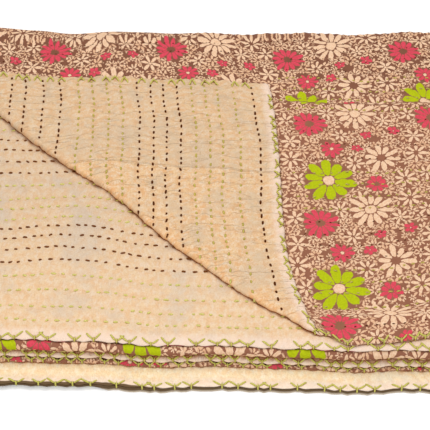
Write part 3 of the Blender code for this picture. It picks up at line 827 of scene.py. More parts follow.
def thread_piece(name, groups, radius, material):
    """One piece of all the threads in some groups, each a round, closed little tube."""
    template = bmesh.new()
    last = THREAD_LEVELS - 1
    bmesh.ops.create_uvsphere(template, u_segments=THREAD_SIDES, v_segments=last, radius=1)
    mesh = bpy.data.meshes.new(name)
    template.to_mesh(mesh)
    shape = np.array([vertex.co for vertex in template.verts])
    template.free()
    level = np.rint(np.arccos(np.clip(shape[:, 2], -1, 1)) / math.pi * last).astype(int)
    around = np.arctan2(shape[:, 1], shape[:, 0])
    size = radius * np.clip(np.hypot(shape[:, 0], shape[:, 1]) * BLUNT, 0, 1)
    aside, upwards = (size * part(around) for part in (np.cos, np.sin))
    places = []
    for group in groups:
        middle, across, up = (part[:, level] for part in group.rings())
        swing = aside[None, :, None] * across + upwards[None, :, None] * up
        places.append((middle + swing).reshape(-1, 3))
    places = np.concatenate(places)
    places[:, 2] = np.maximum(places[:, 2], LOWEST)
    threads = bmesh.new()
    for _ in range(len(places) // len(shape)):
        threads.from_mesh(mesh)
    for vertex, at in zip(threads.verts, places, strict=True):
        vertex.co = at
    bmesh.ops.recalc_face_normals(threads, faces=threads.faces[:])
    return finished(threads, mesh, material)


def running_stitches(side, brown, finer):
    """The running stitches of one colour that show on one face."""
    sewing = bpy.context.scene.quilt_sewing
    chance = np.random.default_rng(SEED + 2 * (side == PRINT_SIDE) + brown)
    us = np.arange(-LEAN, LENGTH, LINE_STEP)
    threads = Threads(side)
    radius = sewing.thread * finer
    for sheet in ("A", "B"):
        rows, is_brown = rows_of(sheet)
        for i, depth in enumerate(rows):
            if is_brown[i] != brown:
                continue
            phase = stitch_phase(us, i, sewing.stitch_pitch) - (side == PRINT_SIDE) / 2
            at = np.interp(np.arange(math.ceil(phase[0]), math.floor(phase[-1])), phase, us)
            half = sewing.stitch_length / 2 * chance.uniform(*STITCH_LENGTHS, len(at)) * finer
            tilt = chance.normal(0, STITCH_TILT, len(at))
            row = depth + row_wave(sheet == "B", at, np.full(len(at), depth))
            row = row if sheet == "A" else WIDTH - row
            seen = shows(side, at, row, -0.001) & (end_depth(at, row) > CLEAR_OF_END)
            for u, v, h, t in zip(at[seen], row[seen], half[seen], tilt[seen], strict=True):
                path = [(u + h * a, v + t * a, radius * rise) for a, rise in STITCH_ARCH]
                threads.add(path, (0, 1))
    return threads


def hem_stitches():
    """The stitches round the hems: each wraps the edge, and has two arms on each face."""
    sewing = bpy.context.scene.quilt_sewing
    chance = np.random.default_rng(SEED)
    r = sewing.hem_thread
    faces = {side: Threads(side) for side in (PRINT_SIDE, CREAM_SIDE)}
    padding = bpy.context.scene.quilt_cloths.padding

    def sew(u, v, inward, along, deep, wide):
        """inward and along are flat directions: away from the edge, and with it. The arms reach
        deep in from the edge, and half as wide as the stitch to each side."""
        through = 2 * OUTER + padding * float(filled(u, v))
        wrap = (
            (WRAP_END, -1.4 * r), (WRAP_TURN, 0.5 * r), (WRAP_EDGE, 0.4 * r), (-0.7 * r, -through / 2),
            (WRAP_EDGE, -through - 0.4 * r), (WRAP_TURN, -through - 0.5 * r),
            (WRAP_END, -through + 1.4 * r),
        )
        path = [(u + inward[0] * d, v + inward[1] * d, height) for d, height in wrap]
        faces[PRINT_SIDE].add(path, along)
        for side, threads in faces.items():
            for way in (-1, 1):
                reach = deep * chance.uniform(*ARM_DEPTHS)
                sideways = way * wide / 2 * chance.uniform(*ARM_WIDTHS)
                go = [reach * i + sideways * a for i, a in zip(inward, along, strict=True)]
                path = [(u + go[0] * a, v + go[1] * a, r * rise) for a, rise in HEM_ARM]
                threads.add(path, (-go[1] / math.hypot(*go), go[0] / math.hypot(*go)))

    def knots(start, stop, pitch):
        """Where the stitches of a hem wrap its edge."""
        line = np.arange(start, stop, LINE_STEP)
        phase = hem_phase(line, pitch)
        return np.interp(np.arange(math.ceil(phase[0]), math.floor(phase[-1]) + 1), phase, line)

    for v, inward, pitch in ((0.0, (0, 1), sewing.close_pitch), (WIDTH, (0, -1), sewing.hem_pitch)):
        for u in knots(CORNER_RADIUS, LENGTH - CORNER_RADIUS, pitch):
            sew(u, v, inward, (1, 0), min(sewing.hem_arm, pitch * LONG_DEEPEST), pitch * LONG_WIDE)
    deep, wide = sewing.hem_arm * END_DEEP, sewing.close_pitch * END_WIDE
    for v in knots(CORNER_RADIUS, WIDTH - CORNER_RADIUS, sewing.close_pitch):
        sew(LENGTH, v, (-1, 0), (0, 1), deep, wide)
        depth = min(v, WIDTH - v)
        lean = 0 if depth > SLANT_DEPTH else (-END_SLANT if v < HALF else END_SLANT)
        sew(-END_SLANT * min(depth, SLANT_DEPTH), v, (1, 0), (lean, 1), deep, wide)
    return list(faces.values())


# Materials

FOLD_DEPTH = 0.010  # how wide a gap between two layers still gets painted shade
FOLD_SHADE = (0.28, 0.76)  # the shares of open space that are darkest and not darkened
WEAVE = 5200  # radians of the weave's waves for each metre
# The darkest colour of the painted shadow under the lowest hem.
PAINTED_HEM_SHADOW = (0.115, 0.072, 0.036)


def times(colour, factors):
    """A plain colour, multiplied by a number or by another colour."""
    factors = factors if isinstance(factors, tuple) else (factors,) * 3
    return tuple(min(c * f, 1) for c, f in zip(colour, factors, strict=True))


class Field:
    """A shader socket that can be used in sums. Each sum adds its Math node."""

    def __init__(self, shade, socket):
        self.shade, self.socket = shade, socket

    def __add__(self, other):
        return self.shade.math("ADD", self, other)

    def __sub__(self, other):
        return self.shade.math("SUBTRACT", self, other)

    def __rsub__(self, other):
        return self.shade.math("SUBTRACT", other, self)

    def __mul__(self, other):
        return self.shade.math("MULTIPLY", self, other)

    def __truediv__(self, other):
        return self.shade.math("DIVIDE", self, other)

    def __rtruediv__(self, other):
        return self.shade.math("DIVIDE", other, self)

    __radd__, __rmul__ = __add__, __mul__

    def also(self, output):
        """Another output of the same node."""
        return Field(self.shade, self.socket.node.outputs[output])


class Shade:
    """One cloth or thread material, and the ways to add a node to it."""

    def __init__(self, name, roughness):
        self.material = bpy.data.materials.new(name)
        self.material.use_nodes = True
        self.tree = self.material.node_tree
        self.surface = self.tree.nodes["Principled BSDF"]
        self.surface.inputs["Metallic"].default_value = 0
        self.surface.inputs["Roughness"].default_value = roughness
        self.surface.inputs["Specular IOR Level"].default_value = 0.06

    def feed(self, socket, value):
        """Links a socket to a field, or sets it to a plain value."""
        if isinstance(value, Field):
            self.tree.links.new(value.socket, socket)
        else:
            socket.default_value = value

    def node(self, kind, settings, values, output=0):
        """Any node, from its type, its settings and the values of its inputs."""
        made = self.tree.nodes.new(kind)
        for name, setting in settings.items():
            setattr(made, name, setting)
        for name, value in values.items():
            self.feed(made.inputs[name], value)
        return Field(self, made.outputs[output])

    def math(self, operation, *values):
        return self.node("ShaderNodeMath", {"operation": operation}, dict(enumerate(values)))

    def size_of(self, value):
        """A number without its sign."""
        return self.math("ABSOLUTE", value)

    def vector(self, operation, *values, output=0):
        settings = {"operation": operation}
        return self.node("ShaderNodeVectorMath", settings, dict(enumerate(values)), output)

    def step(self, value, start, stop):
        """0 at start and 1 at stop, smoothly."""
        values = {"Value": value, "From Min": start, "From Max": stop}
        return self.node("ShaderNodeMapRange", {"interpolation_type": "SMOOTHSTEP"}, values)

    def mix(self, factor, first, second):
        """A colour between two colours, or sockets of colours."""
        first, second = (c if isinstance(c, Field) else (*c, 1) for c in (first, second))
        values = {0: factor, 6: first, 7: second}
        return self.node("ShaderNodeMix", {"data_type": "RGBA"}, values, 2)

    def tinted(self, factor, colour, by):
        """A colour, more or less multiplied by another one."""
        return self.mix(factor, colour, self.vector("MULTIPLY", colour, by))

    def spot(self, x, y):
        """A place in the plane of the flat cloth."""
        return self.node("ShaderNodeCombineXYZ", {}, {"X": x, "Y": y})

    def turned(self, spot, angle):
        """A place, turned round the flat cloth's origin."""
        values = {"Vector": spot, "Angle": angle}
        return self.node("ShaderNodeVectorRotate", {"rotation_type": "Z_AXIS"}, values)

    def either(self, factor, first, second):
        """The first place, or the second where the factor is 1."""
        return self.node("ShaderNodeMix", {"data_type": "VECTOR"}, {0: factor, 4: first, 5: second}, 1)

    def noise(self, spot, scale, detail=3.0, roughness=0.5, output=0):
        values = {"Vector": spot, "Scale": scale, "Detail": detail, "Roughness": roughness}
        return self.node("ShaderNodeTexNoise", {}, values, output)

    def split(self, spot):
        """x, y and z of a place or a colour."""
        x = self.node("ShaderNodeSeparateXYZ", {}, {0: spot})
        return x, x.also(1), x.also(2)

    def flat(self):
        """The flat coordinates of the cloth."""
        return self.node("ShaderNodeUVMap", {"uv_map": "Flat"}, {})

    def in_stack(self):
        """The coordinates of the folded quilt."""
        return self.node("ShaderNodeTexCoord", {}, {}, "Object")

    def bump(self, height, distance, strength=1.0):
        values = {"Height": height, "Distance": distance, "Strength": strength}
        return self.node("ShaderNodeBump", {}, values)

    def with_painted_fold_shade(self, colour, dark):
        """A colour with painted shade: darker and warmer deep in the folds and under the hems, where
        ambient occlusion finds little open space.
        """
        values = {"Distance": FOLD_DEPTH}
        light = self.node("ShaderNodeAmbientOcclusion", {"samples": 6}, values, "AO")
        deep = self.vector("MULTIPLY", colour, dark)
        return self.mix(self.step(light, *FOLD_SHADE), deep, colour)

    def bell(self, value, middle, width):
        """1 in the middle and 0 far from it."""
        off = (value - middle) / width
        return self.math("EXPONENT", 0 - off * off)

    def in_run_3(self, u):
        """1 in run 3, and 0 before it."""
        return self.step(u, FOLD_STARTS[1], LENGTH - RUNS[2])

    def weave(self, spot, count):
        """The height of a plain weave, from -1 to 1."""
        u, v, _ = self.split(spot)
        return self.math("SINE", u * count) * self.math("SINE", v * count)


# One repeat of the print, in metres: place, radius, petals, turn, eye, petal width and colours.
TILE = (0.1591, 0.1671)
FLOWERS = (
    # pale daisies of middle size, between the others
    ((0.113, -0.100), 0.0150, 8, 0.3, 0.0026, 0.62, "petal", "ground"),
    ((0.131, -0.058), 0.0145, 8, 0.9, 0.0030, 0.60, "petal", "ground"),
    ((0.132, -0.026), 0.0130, 6, 0.1, 0.0020, 0.58, "petal", "petal"),
    ((0.038, -0.020), 0.0110, 7, 0.5, 0.0020, 0.62, "petal", "ground"),
    ((0.052, -0.070), 0.0125, 8, 0.2, 0.0026, 0.60, "petal", "ground"),
    ((0.140, -0.092), 0.0120, 7, 0.7, 0.0020, 0.60, "petal", "ground"),
    ((0.096, 0.006), 0.0115, 7, 0.2, 0.0020, 0.60, "petal", "petal"),
    ((0.024, 0.022), 0.0115, 8, 0.6, 0.0022, 0.62, "petal", "ground"),
    ((0.110, 0.034), 0.0150, 8, 0.0, 0.0030, 0.58, "petal", "ground"),
    ((0.129, 0.014), 0.0115, 6, 0.4, 0.0018, 0.60, "petal", "ground"),
    ((0.058, -0.128), 0.0120, 7, 0.8, 0.0022, 0.60, "petal", "ground"),
    # large pale daisies
    ((0.061, 0.020), 0.0270, 12, 0.1, 0.0078, 0.78, "petal", "petal"),
    ((0.086, -0.062), 0.0230, 10, 0.2, 0.0058, 0.76, "petal", "ground"),
    # red daisies
    ((0.057, -0.043), 0.0078, 5, 0.3, 0.0008, 0.90, "coral", "petal"),
    ((0.071, -0.020), 0.0074, 5, 0.7, 0.0008, 0.90, "coral", "petal"),
    ((0.107, -0.014), 0.0082, 5, 0.1, 0.0008, 0.85, "coral", "petal"),
    ((0.077, -0.105), 0.0135, 8, 0.4, 0.0030, 0.88, "coral", "ground"),
    ((0.0245, -0.045), 0.0145, 9, 0.1, 0.0024, 0.86, "coral", "petal"),
    ((0.000, 0.000), 0.0224, 12, 0.15, 0.0052, 0.84, "coral", "ground"),
    # green daisies
    ((0.018, -0.098), 0.0330, 10, 0.25, 0.0074, 0.92, "lime", "petal"),
)
UNLIKE = 0.11  # how much the petals of a flower differ in length


def petal_shape(shade, off, petals, turn, width, start, stop):
    """0 in the middle of a petal and 1 at its rim, and how far a spot is from the next petal."""
    x, y, _ = shade.split(off)
    reach = shade.vector("LENGTH", off, output="Value")
    around = (shade.math("ARCTAN2", y, x) + turn) * petals * (1 / math.tau)
    petal = shade.math("ROUND", around)
    angle = (around - petal) * math.tau / petals
    longer = shade.math("SINE", petal * (3 * math.tau) / petals + turn * 5) * UNLIKE + 1
    middle, half = (stop * longer + start) * 0.5, (stop * longer - start) * 0.5
    from_middle = (reach * shade.math("COSINE", angle) - middle) / half
    side = reach * shade.math("SINE", angle) / (width * (from_middle * 0.18 + 1))
    square = from_middle * from_middle
    lens = side * side * 0.6 + shade.math("ABSOLUTE", side) * 0.4 + square * (square * 0.4 + 0.6)
    return lens, (math.pi / petals - shade.math("ABSOLUTE", angle)) * reach


def daisy(shade, off, radius, petals, turn, eye, wide):
    """How much a spot is on the petals, in the eye and on the patch of ground of a flower."""
    reach = shade.vector("LENGTH", off, output="Value")
    width = wide * math.pi * (radius + eye) / 2 / petals
    lens, gap = petal_shape(shade, off, petals, turn, width, eye, radius)
    on_petal = shade.step(lens, 1.06, 0.88) * shade.step(gap, 0.0001, 0.0005)
    return on_petal, shade.step(reach, eye * 0.98, eye * 0.84), shade.step(reach, radius, radius * 0.86)


def scattered(shade, spot, cell, fewest, under, ground, colour):
    """Pale daisies all over, each in its own cell, on its own patch of ground."""
    values = {"Vector": spot, "Scale": 1 / cell, "Randomness": 0.85}
    cells = shade.node("ShaderNodeTexVoronoi", {"voronoi_dimensions": "2D"}, values, "Color")
    seed, other, _ = shade.split(cells)
    off = shade.vector("SUBTRACT", spot, cells.also("Position"))
    reach = shade.vector("LENGTH", off, output="Value")
    petals = shade.math("ROUND", seed * 2 + fewest)
    size = (other * 0.16 + 0.42) * cell
    width = 1.9 / petals * size * 0.62
    lens, gap = petal_shape(shade, off, petals, seed * 9, width, size * 0.2, size)
    under = shade.mix(shade.step(reach, size, size * 0.8), under, ground)
    own = shade.mix(other * 0.55, colour, shade.vector("MULTIPLY", colour, (0.82, 0.64, 0.52)))
    return shade.mix(shade.step(lens, 1.15, 0.8) * shade.step(gap, 0, 0.0004), under, own)


# The strips of the patchwork: where the print starts in each, how it is turned, and the seam between
# the low and the high one. The seam rises along u up to its bend.
LOW_START, HIGH_START, FAR_START = (0.4274, 0.3420), (0.4095, 0.4870), (1.0603, 1.1026)
LOW_TURN, HIGH_TURN = math.radians(-2.1), math.radians(-0.3)
SEAM_V, SEAM_SLOPE, SEAM_BEND = 0.40735, 0.055, 0.62
SEAM_HALF, SEAM_SHADE = (0.0004, 0.0013), 0.65
FAR_SEAM_V = 0.75

# How the print is pulled out of line: how far, then where along u and along v.
SEAM_PULL, SEAM_PULL_U, SEAM_PULL_V = 0.0070, (0.508, 0.458), (-0.0125, 0.5175)
HIGH_BELLS = ((0.0245, (0.415, 0.075), (0.535, 0.505)), (-0.0115, (0.180, 0.050), (0.430, 0.470)))
RIGHT_PULL, RIGHT_PULL_U = 0.011, (0.510, 0.560)
LEFT_PULL, LEFT_PULL_U, LEFT_PULL_V = 0.012, (0.330, 0.280), (0.500, 0.525)
FRONT_PULL, FRONT_PULL_V = (0.009, 0.018), (0.050, 0.030)
FAR_PULL, FAR_PULL_U = 0.021, (1.047, 0.905)

# One more red daisy in the tucked hem: its place, and then as in the list above.
TUCKED_DAISY, TUCKED_SIZES = (1.1850, 1.0200, 0), (0.0155, 9, 0.3, 0.0030, 0.86)
NO_LIME = (0.030, 0.034)  # how far from the back fold the green daisies stop
# The printed ground is darker towards the back: how much, and where along u and v.
BEHIND, BEHIND_U, BEHIND_V = 0.74, (0.66, 0.60), (0.340, 0.450)
DRAWN = 0.0014  # how far the outlines stray


def print_spot(shade, flat):
    """The place in the print of each place on the flat cloth, and the place across the seam."""
    u, v, _ = shade.split(flat)
    pulled = shade.step(u, *SEAM_PULL_U) * shade.step(v, *SEAM_PULL_V) * SEAM_PULL
    seam = v + pulled + SEAM_SLOPE * shade.math("MINIMUM", u, SEAM_BEND)
    at_front = shade.step(v, *FRONT_PULL_V) * shade.step(u, FOLD_STARTS[0], FOLD_STARTS[0] - 0.010)
    low = shade.turned(shade.spot(
        u - at_front * FRONT_PULL[0] - LOW_START[0],
        v + pulled - at_front * FRONT_PULL[1] - LOW_START[1],
    ), LOW_TURN)
    dent = shade.step(u, *RIGHT_PULL_U) * RIGHT_PULL
    dent = dent - shade.step(v, *LEFT_PULL_V) * shade.step(u, *LEFT_PULL_U) * LEFT_PULL
    for size, along, across in HIGH_BELLS:
        dent = dent + shade.bell(u, *along) * size * shade.step(v, *across)
    high = shade.turned(shade.spot(u - HIGH_START[0], v + dent - HIGH_START[1]), HIGH_TURN)
    shift = shade.step(u, *FAR_PULL_U) * FAR_PULL
    far = shade.spot(u + shift - FAR_START[0], v - FAR_START[1])
    spot = shade.either(shade.step(seam, SEAM_V - 0.00015, SEAM_V + 0.00015), low, high)
    spot = shade.either(shade.step(v, FAR_SEAM_V - 0.0001, FAR_SEAM_V + 0.0001), spot, far)
    strays = shade.noise(flat, 320, 2, output="Color")
    strays = shade.vector("MULTIPLY_ADD", strays, (2 * DRAWN,) * 3, (-DRAWN,) * 3)
    return shade.vector("ADD", spot, strays), seam - SEAM_V


def print_colours(shade, flat):
    """The four colours of the print, each a little uneven."""
    u, v, _ = shade.split(flat)
    colours = bpy.context.scene.quilt_cloths
    ground = shade.mix(shade.noise(flat, 90, 3), times(colours.ground, 0.72), tuple(colours.ground))
    behind = shade.step(v, *BEHIND_V) * shade.step(u, *BEHIND_U)
    fields = {"ground": shade.tinted(behind, ground, (BEHIND,) * 3)}
    tone = shade.step(shade.noise(flat, 420, 2), 0.35, 0.65)
    for name, darker in (("petal", (0.90, 0.80, 0.72)), ("coral", 0.84), ("lime", 0.88)):
        colour = getattr(colours, name)
        fields[name] = shade.mix(tone, times(colour, darker), tuple(colour))
    return fields


def in_tile(shade, spot, at):
    """How far each place is from the nearest repeat of a flower."""
    x = at[0] * math.cos(LOW_TURN) - at[1] * math.sin(LOW_TURN)
    y = at[0] * math.sin(LOW_TURN) + at[1] * math.cos(LOW_TURN)
    start = (0.5 - x / TILE[0], 0.5 - y / TILE[1], 0)
    tiles = shade.vector("MULTIPLY_ADD", spot, (1 / TILE[0], 1 / TILE[1], 0), start)
    tiles = shade.vector("FRACTION", tiles)
    return shade.vector("MULTIPLY_ADD", tiles, (*TILE, 0), (-TILE[0] / 2, -TILE[1] / 2, 0))


def print_material():
    """The flower print, its strips joined by a seam."""
    shade = Shade("flower_printed_cotton", 0.85)
    flat = shade.flat()
    u, v, _ = shade.split(flat)
    spot, from_seam = print_spot(shade, flat)
    fields = print_colours(shade, flat)
    ground, petal = fields["ground"], fields["petal"]

    colour = scattered(shade, spot, 0.0100, 5, ground, ground, petal)
    between = shade.vector("ADD", spot, (0.0043, 0.0121, 0))
    colour = scattered(shade, between, 0.0165, 6, colour, ground, petal)
    off_fold = shade.step(shade.size_of(v - HALF), *NO_LIME)
    for at, *sizes, petal_name, eye_name in FLOWERS:
        on_petal, in_eye, on_patch = daisy(shade, in_tile(shade, spot, at), *sizes)
        if petal_name == "lime":
            on_petal, on_patch = on_petal * off_fold, on_patch * off_fold
        colour = shade.mix(on_patch, colour, ground)
        colour = shade.mix(on_petal, colour, fields[petal_name])
        colour = shade.mix(in_eye, colour, fields[eye_name])
    tucked_spot = shade.vector("SUBTRACT", flat, TUCKED_DAISY)
    on_petal, _, on_patch = daisy(shade, tucked_spot, *TUCKED_SIZES)
    colour = shade.mix(on_petal, shade.mix(on_patch, colour, ground), fields["coral"])

    join = 1 - shade.step(shade.size_of(from_seam), *SEAM_HALF)
    shadow = times(bpy.context.scene.quilt_cloths.ground, 0.72)
    colour = shade.mix(join * SEAM_SHADE, colour, shadow)
    # Painted shadow on the lowest hem's printed edge: dark higher up and paler near the floor.
    _, _, up = shade.split(shade.in_stack())
    hem_shadow_colour = shade.mix(shade.step(up, 0.0032, 0.0002), PAINTED_HEM_SHADOW, (0.60, 0.50, 0.38))
    painted_hem_shadow = shade.step(v, WIDTH - 0.0016, WIDTH - 0.0006) * shade.in_run_3(u)
    colour = shade.mix(painted_hem_shadow, colour, hem_shadow_colour)
    # Painted shade darkens the print in the folds and in the gaps under the hems.
    shade.feed(shade.surface.inputs["Base Color"], shade.with_painted_fold_shade(colour, (0.20, 0.12, 0.07)))
    crinkle = shade.noise(flat, 300, 4, 0.6)
    height = crinkle * 0.5 + shade.weave(flat, WEAVE) * 0.08 - join
    shade.feed(shade.surface.inputs["Normal"], shade.bump(height, 0.0006, 0.8))
    return shade.material


# The join of two pieces of the cream cloth: its place along u, and how much it leans with v.
JOIN_U, JOIN_LEAN = 0.1667, 0.14
CREASE_WARM_SHADE = (0.012, 0.001)  # how far from the crease the painted warm shade ends and is strongest
# How far in the painted shadow on the lowest cream hem reaches, and the x over which it grows to that.
SHADOW_BAND_REACH, SHADOW_BAND_X = 0.0040, (-0.040, -0.125)
HEM_PALE = (0.018, 0.004)


def cream_mottled(shade, flat, sheet_a):
    """The cream colour with its patches and a little painted shade in its wrinkles, and where it is
    wrinkled.
    """
    colours = bpy.context.scene.quilt_cloths
    cream, peach, pale = tuple(colours.cream), tuple(colours.peach), tuple(colours.pale)
    patches = shade.step(shade.noise(flat, 120, 4, 0.6), 0.38, 0.62)
    colour = shade.mix(patches * (sheet_a * 0.35 + 0.65), cream, peach)
    light = shade.noise(shade.vector("MULTIPLY", flat, (190, 130, 1)), 1, 4, 0.65)
    colour = shade.mix(shade.step(light, 0.44, 0.66) * (sheet_a * 0.4 + 0.6), colour, pale)
    dull = shade.step(shade.noise(flat, 16, 4, 0.6), 0.46, 0.66)
    colour = shade.mix(dull * 0.7, colour, times(pale, 0.80))
    grain = shade.step(shade.noise(flat, 520, 3, 0.7), 0.46, 0.62)
    colour = shade.mix(grain * (sheet_a * 0.2 + 0.3), colour, times(peach, 0.78))
    bent = shade.noise(shade.vector("MULTIPLY", flat, (34, 9, 1)), 1, 3, 0.6)
    wrinkle = shade.step(shade.size_of(bent - 0.5), 0.012, 0.0) * (sheet_a * 0.7 + 0.3)
    # Painted shade darkens the wrinkle lines a little.
    return shade.mix(wrinkle * 0.12, colour, times(peach, 0.62)), wrinkle


def near_crease(shade, u, v):
    """1 on the crease of the turned corner, and 0 away from it."""
    across = (TO_CORNER[0] + FRONT["layer 1"][1] * TO_CORNER[1], TO_CORNER[1])
    from_x, from_y = FIRST_END_X - CREASE_POINT[0], front("layer 1", FIRST_END_X) - CREASE_POINT[1]
    beyond = u * across[0] + v * across[1] + (from_x * TO_CORNER[0] + from_y * TO_CORNER[1])
    on_crease = shade.size_of(beyond - math.pi / 2 * CREASE_RADIUS)
    return shade.step(on_crease, *CREASE_WARM_SHADE) * shade.step(u, FOLD_STARTS[0], RUNS[0] - 0.010)


def cream_material():
    """Plain cream cotton, softly mottled, with a join between two of its pieces."""
    pale = tuple(bpy.context.scene.quilt_cloths.pale)
    shade = Shade("plain_cream_cotton", 0.9)
    flat = shade.flat()
    u, v, _ = shade.split(flat)
    sheet_a = shade.step(v, 0.54, 0.50)
    colour, wrinkle = cream_mottled(shade, flat, sheet_a)
    # Painted warm shade along the crease of the turned corner.
    colour = shade.tinted(near_crease(shade, u, v) * sheet_a * 0.5, colour, (1.10, 0.95, 0.78))

    # The piece before the join is duller and the sheets differ. Painted light brightens the cream of the
    # lower layers near their hems.
    from_join = u + JOIN_LEAN * v - JOIN_U
    on_flap = shade.step(v, 0.5, 0.4)
    older = shade.step(from_join, 0.0005, -0.0005) * on_flap
    colour = shade.mix(older * 0.22, colour, times(pale, 0.70))
    colour = shade.tinted(sheet_a, colour, (0.97, 0.92, 0.84))
    colour = shade.tinted((1 - sheet_a) * shade.step(v, 1.06, 0.80), colour, (0.88, 0.89, 0.92))
    greyed = shade.step(shade.noise(flat, 42, 3, 0.55), 0.50, 0.66) * sheet_a
    colour = shade.mix(greyed * 0.5, colour, times(pale, (0.74, 0.69, 0.60)))
    depth = shade.math("MINIMUM", v, WIDTH - v)
    # Painted light: the front strips of runs 2 and 3 lie in shade, and their cream is brightened.
    painted_front_light = shade.step(depth, 0.050, 0.034) * shade.step(u, FOLD_STARTS[0], FOLD_STARTS[0] + END_FOLD)
    colour = shade.tinted(painted_front_light, colour, (1.20, 1.33, 1.36))
    colour = shade.mix(shade.step(depth, *HEM_PALE) * 0.6, colour, times(pale, (1.09, 1.06, 1.17)))

    # Painted shadow darkens the lowest hem at its edge, where it lies nearest the floor.
    x, _, _ = shade.split(shade.in_stack())
    reach = shade.step(x, *SHADOW_BAND_X) * SHADOW_BAND_REACH
    painted_hem_shadow = shade.step(v + reach, WIDTH - 0.0006, WIDTH + 0.0010) * shade.in_run_3(u)
    colour = shade.mix(painted_hem_shadow, colour, (0.140, 0.085, 0.042))
    # Painted shade darkens the cream cloth in the folds and in the gaps under the hems.
    shade.feed(shade.surface.inputs["Base Color"], shade.with_painted_fold_shade(colour, (0.42, 0.16, 0.03)))
    join = shade.step(shade.size_of(from_join), 0.0016, 0.0004) * on_flap
    crinkle = shade.noise(shade.vector("MULTIPLY", flat, (330, 150, 1)), 1, 4, 0.6)
    height = crinkle + shade.weave(flat, WEAVE) * 0.08 - join * 1.2 - wrinkle * 0.5
    shade.feed(shade.surface.inputs["Normal"], shade.bump(height, 0.0010, 1.0))
    return shade.material


def thread_material(name, colour, below_corner):
    """Stranded cotton thread, twisted. It is paler on the layer below the turned corner."""
    shade = Shade(name, 0.75)
    spot = shade.in_stack()
    tone = shade.noise(spot, 900, 2)
    x, y, z = shade.split(spot)
    beyond = (x - CREASE_POINT[0]) * TO_CORNER[0] + (y - CREASE_POINT[1]) * TO_CORNER[1]
    colour = shade.mix(shade.step(beyond, -0.005, 0.005), tuple(colour), tuple(below_corner))
    colour = shade.tinted(shade.step(tone, 0.7, 0.3), colour, (0.72,) * 3)
    shade.feed(shade.surface.inputs["Base Color"], colour)
    strands = shade.math("SINE", (x + y + z) * 7000)
    shade.feed(shade.surface.inputs["Normal"], shade.bump(strands, 0.0002, 0.6))
    return shade.material


# Operators

# The lights: place, size and power.
LIGHTS = {"top": ((0.2, 0.7, 2.1), 1.2, 22), "key": ((-0.5, -1.5, 1.9), 1.2, 25)}
SKY = 0.56  # how strong the light from all round is
FLOOR_HALF, FLOOR_Z = 6, -0.0002
SENSOR = 36  # mm
LOOKS_AT = (0, -0.062, 0.036)


class QUILT_OT_printed_cloth(bpy.types.Operator):
    """Makes the printed cloth of the quilt"""

    bl_idname = "quilt.printed_cloth"
    bl_label = "Printed cloth"

    def execute(self, context):
        piece = cloth_piece("printed_cotton_cloth", PRINT_SIDE, print_material())
        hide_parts("printed_cloth")
        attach(piece, "root")
        return {"FINISHED"}


class QUILT_OT_cream_cloth(bpy.types.Operator):
    """Makes the plain cream cloth of the quilt"""

    bl_idname = "quilt.cream_cloth"
    bl_label = "Cream cloth"

    def execute(self, context):
        piece = cloth_piece("cream_cotton_cloth", CREAM_SIDE, cream_material())
        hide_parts("cream_cloth")
        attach(piece, "root")
        return {"FINISHED"}


class QUILT_OT_running_stitches(bpy.types.Operator):
    """Sews the brown and green rows of running stitch on both faces"""

    bl_idname = "quilt.running_stitches"
    bl_label = "Running stitches"

    def execute(self, context):
        sewing = context.scene.quilt_sewing
        faces = ((PRINT_SIDE, "print", "printed_cotton"), (CREAM_SIDE, "cream", "cream_cotton"))
        for brown, name in ((True, "brown"), (False, "green")):
            colour, below_corner = getattr(sewing, name), getattr(sewing, f"faded_{name}")
            material = thread_material(f"{name}_thread", colour, below_corner)
            for side, face, slot in faces:
                finer = ON_PRINT[name] if side == PRINT_SIDE else 1
                threads = running_stitches(side, brown, finer)
                radius = sewing.thread * finer
                piece = thread_piece(f"{name}_stitches_on_{face}", [threads], radius, material)
                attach(piece, "root")
        return {"FINISHED"}


class QUILT_OT_hem_stitches(bpy.types.Operator):
    """Sews the green stitches round the hems"""

    bl_idname = "quilt.hem_stitches"
    bl_label = "Hem stitches"

    def execute(self, context):
        sewing = context.scene.quilt_sewing
        material = thread_material("hem_thread", sewing.hem_green, sewing.hem_green)
        piece = thread_piece("hem_stitches", hem_stitches(), sewing.hem_thread, material)
        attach(piece, "root")
        return {"FINISHED"}


class QUILT_OT_declare(bpy.types.Operator):
    """Makes a list of the threads on each face, and does nothing more with it"""

    bl_idname = "quilt.declare"
    bl_label = "Cloth sizes"

    def execute(self, context):
        for face in ("print", "cream"):
            threads = [f"{name}_stitches_on_{face}" for name in ("brown", "green")]
            threads += ["hem_stitches"] if face == "cream" else []
        return {"FINISHED"}


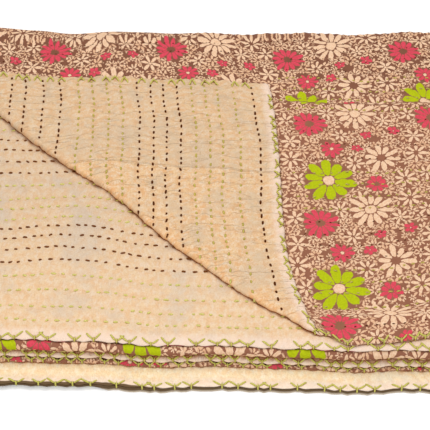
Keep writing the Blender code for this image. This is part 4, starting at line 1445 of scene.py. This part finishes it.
class QUILT_OT_studio(bpy.types.Operator):
    """Sets up the plain floor, the soft lights and the camera"""

    bl_idname = "quilt.studio"
    bl_label = "Studio"

    def execute(self, context):
        studio = context.scene.quilt_studio
        floor = bmesh.new()
        bmesh.ops.create_grid(floor, x_segments=1, y_segments=1, size=FLOOR_HALF)
        bmesh.ops.translate(floor, verts=floor.verts[:], vec=(0, 0, FLOOR_Z))
        shade = Shade("pale_floor", 0.9)
        shade.surface.inputs["Base Color"].default_value = (*studio.floor, 1)
        finished(floor, bpy.data.meshes.new("studio_floor"), shade.material)

        for name, (at, size, power) in LIGHTS.items():
            light = bpy.data.lights.new(name, "AREA")
            light.shape, light.size, light.energy = "SQUARE", size, power
            lamp = bpy.data.objects.new(name, light)
            context.scene.collection.objects.link(lamp)
            lamp.location = at
            lamp.rotation_euler = (-Vector(at)).to_track_quat("-Z", "Y").to_euler()
        world = bpy.data.worlds.new("studio_light")
        context.scene.world = world
        world.use_nodes = True
        background = world.node_tree.nodes["Background"]
        background.inputs["Color"].default_value = (1, 1, 1, 1)
        background.inputs["Strength"].default_value = SKY

        camera = bpy.data.cameras.new("camera")
        camera.lens, camera.sensor_width = studio.lens, SENSOR
        eye = bpy.data.objects.new("camera", camera)
        context.scene.collection.objects.link(eye)
        target = Vector(LOOKS_AT)
        back = Vector((0, -math.cos(studio.elevation), math.sin(studio.elevation)))
        eye.location = target + back * studio.distance
        eye.rotation_euler = (-back).to_track_quat("-Z", "Y").to_euler()
        context.scene.camera = eye
        context.scene.view_settings.view_transform = "Standard"
        return {"FINISHED"}


STEPS = (
    QUILT_OT_printed_cloth,
    QUILT_OT_cream_cloth,
    QUILT_OT_running_stitches,
    QUILT_OT_hem_stitches,
    QUILT_OT_studio,
    QUILT_OT_declare,
)


class QUILT_PT_panel(bpy.types.Panel):
    """The steps that make the quilt, and their settings"""

    bl_idname = "QUILT_PT_panel"
    bl_label = "Kantha quilt"
    bl_space_type = "VIEW_3D"
    bl_region_type = "UI"
    bl_category = "Quilt"

    def draw(self, context):
        for step in STEPS:
            self.layout.operator(step.bl_idname)
        for name in GROUPS:
            settings = getattr(context.scene, name)
            box = self.layout.box()
            for key in settings.__annotations__:
                box.prop(settings, key)


GROUPS = {
    "quilt_cloths": QuiltClothSettings,
    "quilt_sewing": QuiltSewingSettings,
    "quilt_studio": QuiltStudioSettings,
}


def register():
    """Adds the settings, the steps and the panel."""
    for made in (*GROUPS.values(), *STEPS, QUILT_PT_panel):
        bpy.utils.register_class(made)
    for name, group in GROUPS.items():
        setattr(bpy.types.Scene, name, bpy.props.PointerProperty(type=group))


def unregister():
    """Takes them away again."""
    for name in GROUPS:
        delattr(bpy.types.Scene, name)
    for made in (QUILT_PT_panel, *reversed(STEPS), *GROUPS.values()):
        bpy.utils.unregister_class(made)


def main():
    """Makes the quilt and the studio, step by step."""
    register()
    for step in STEPS:
        group, name = step.bl_idname.split(".")
        getattr(getattr(bpy.ops, group), name)()


if __name__ == "__main__":
    main()
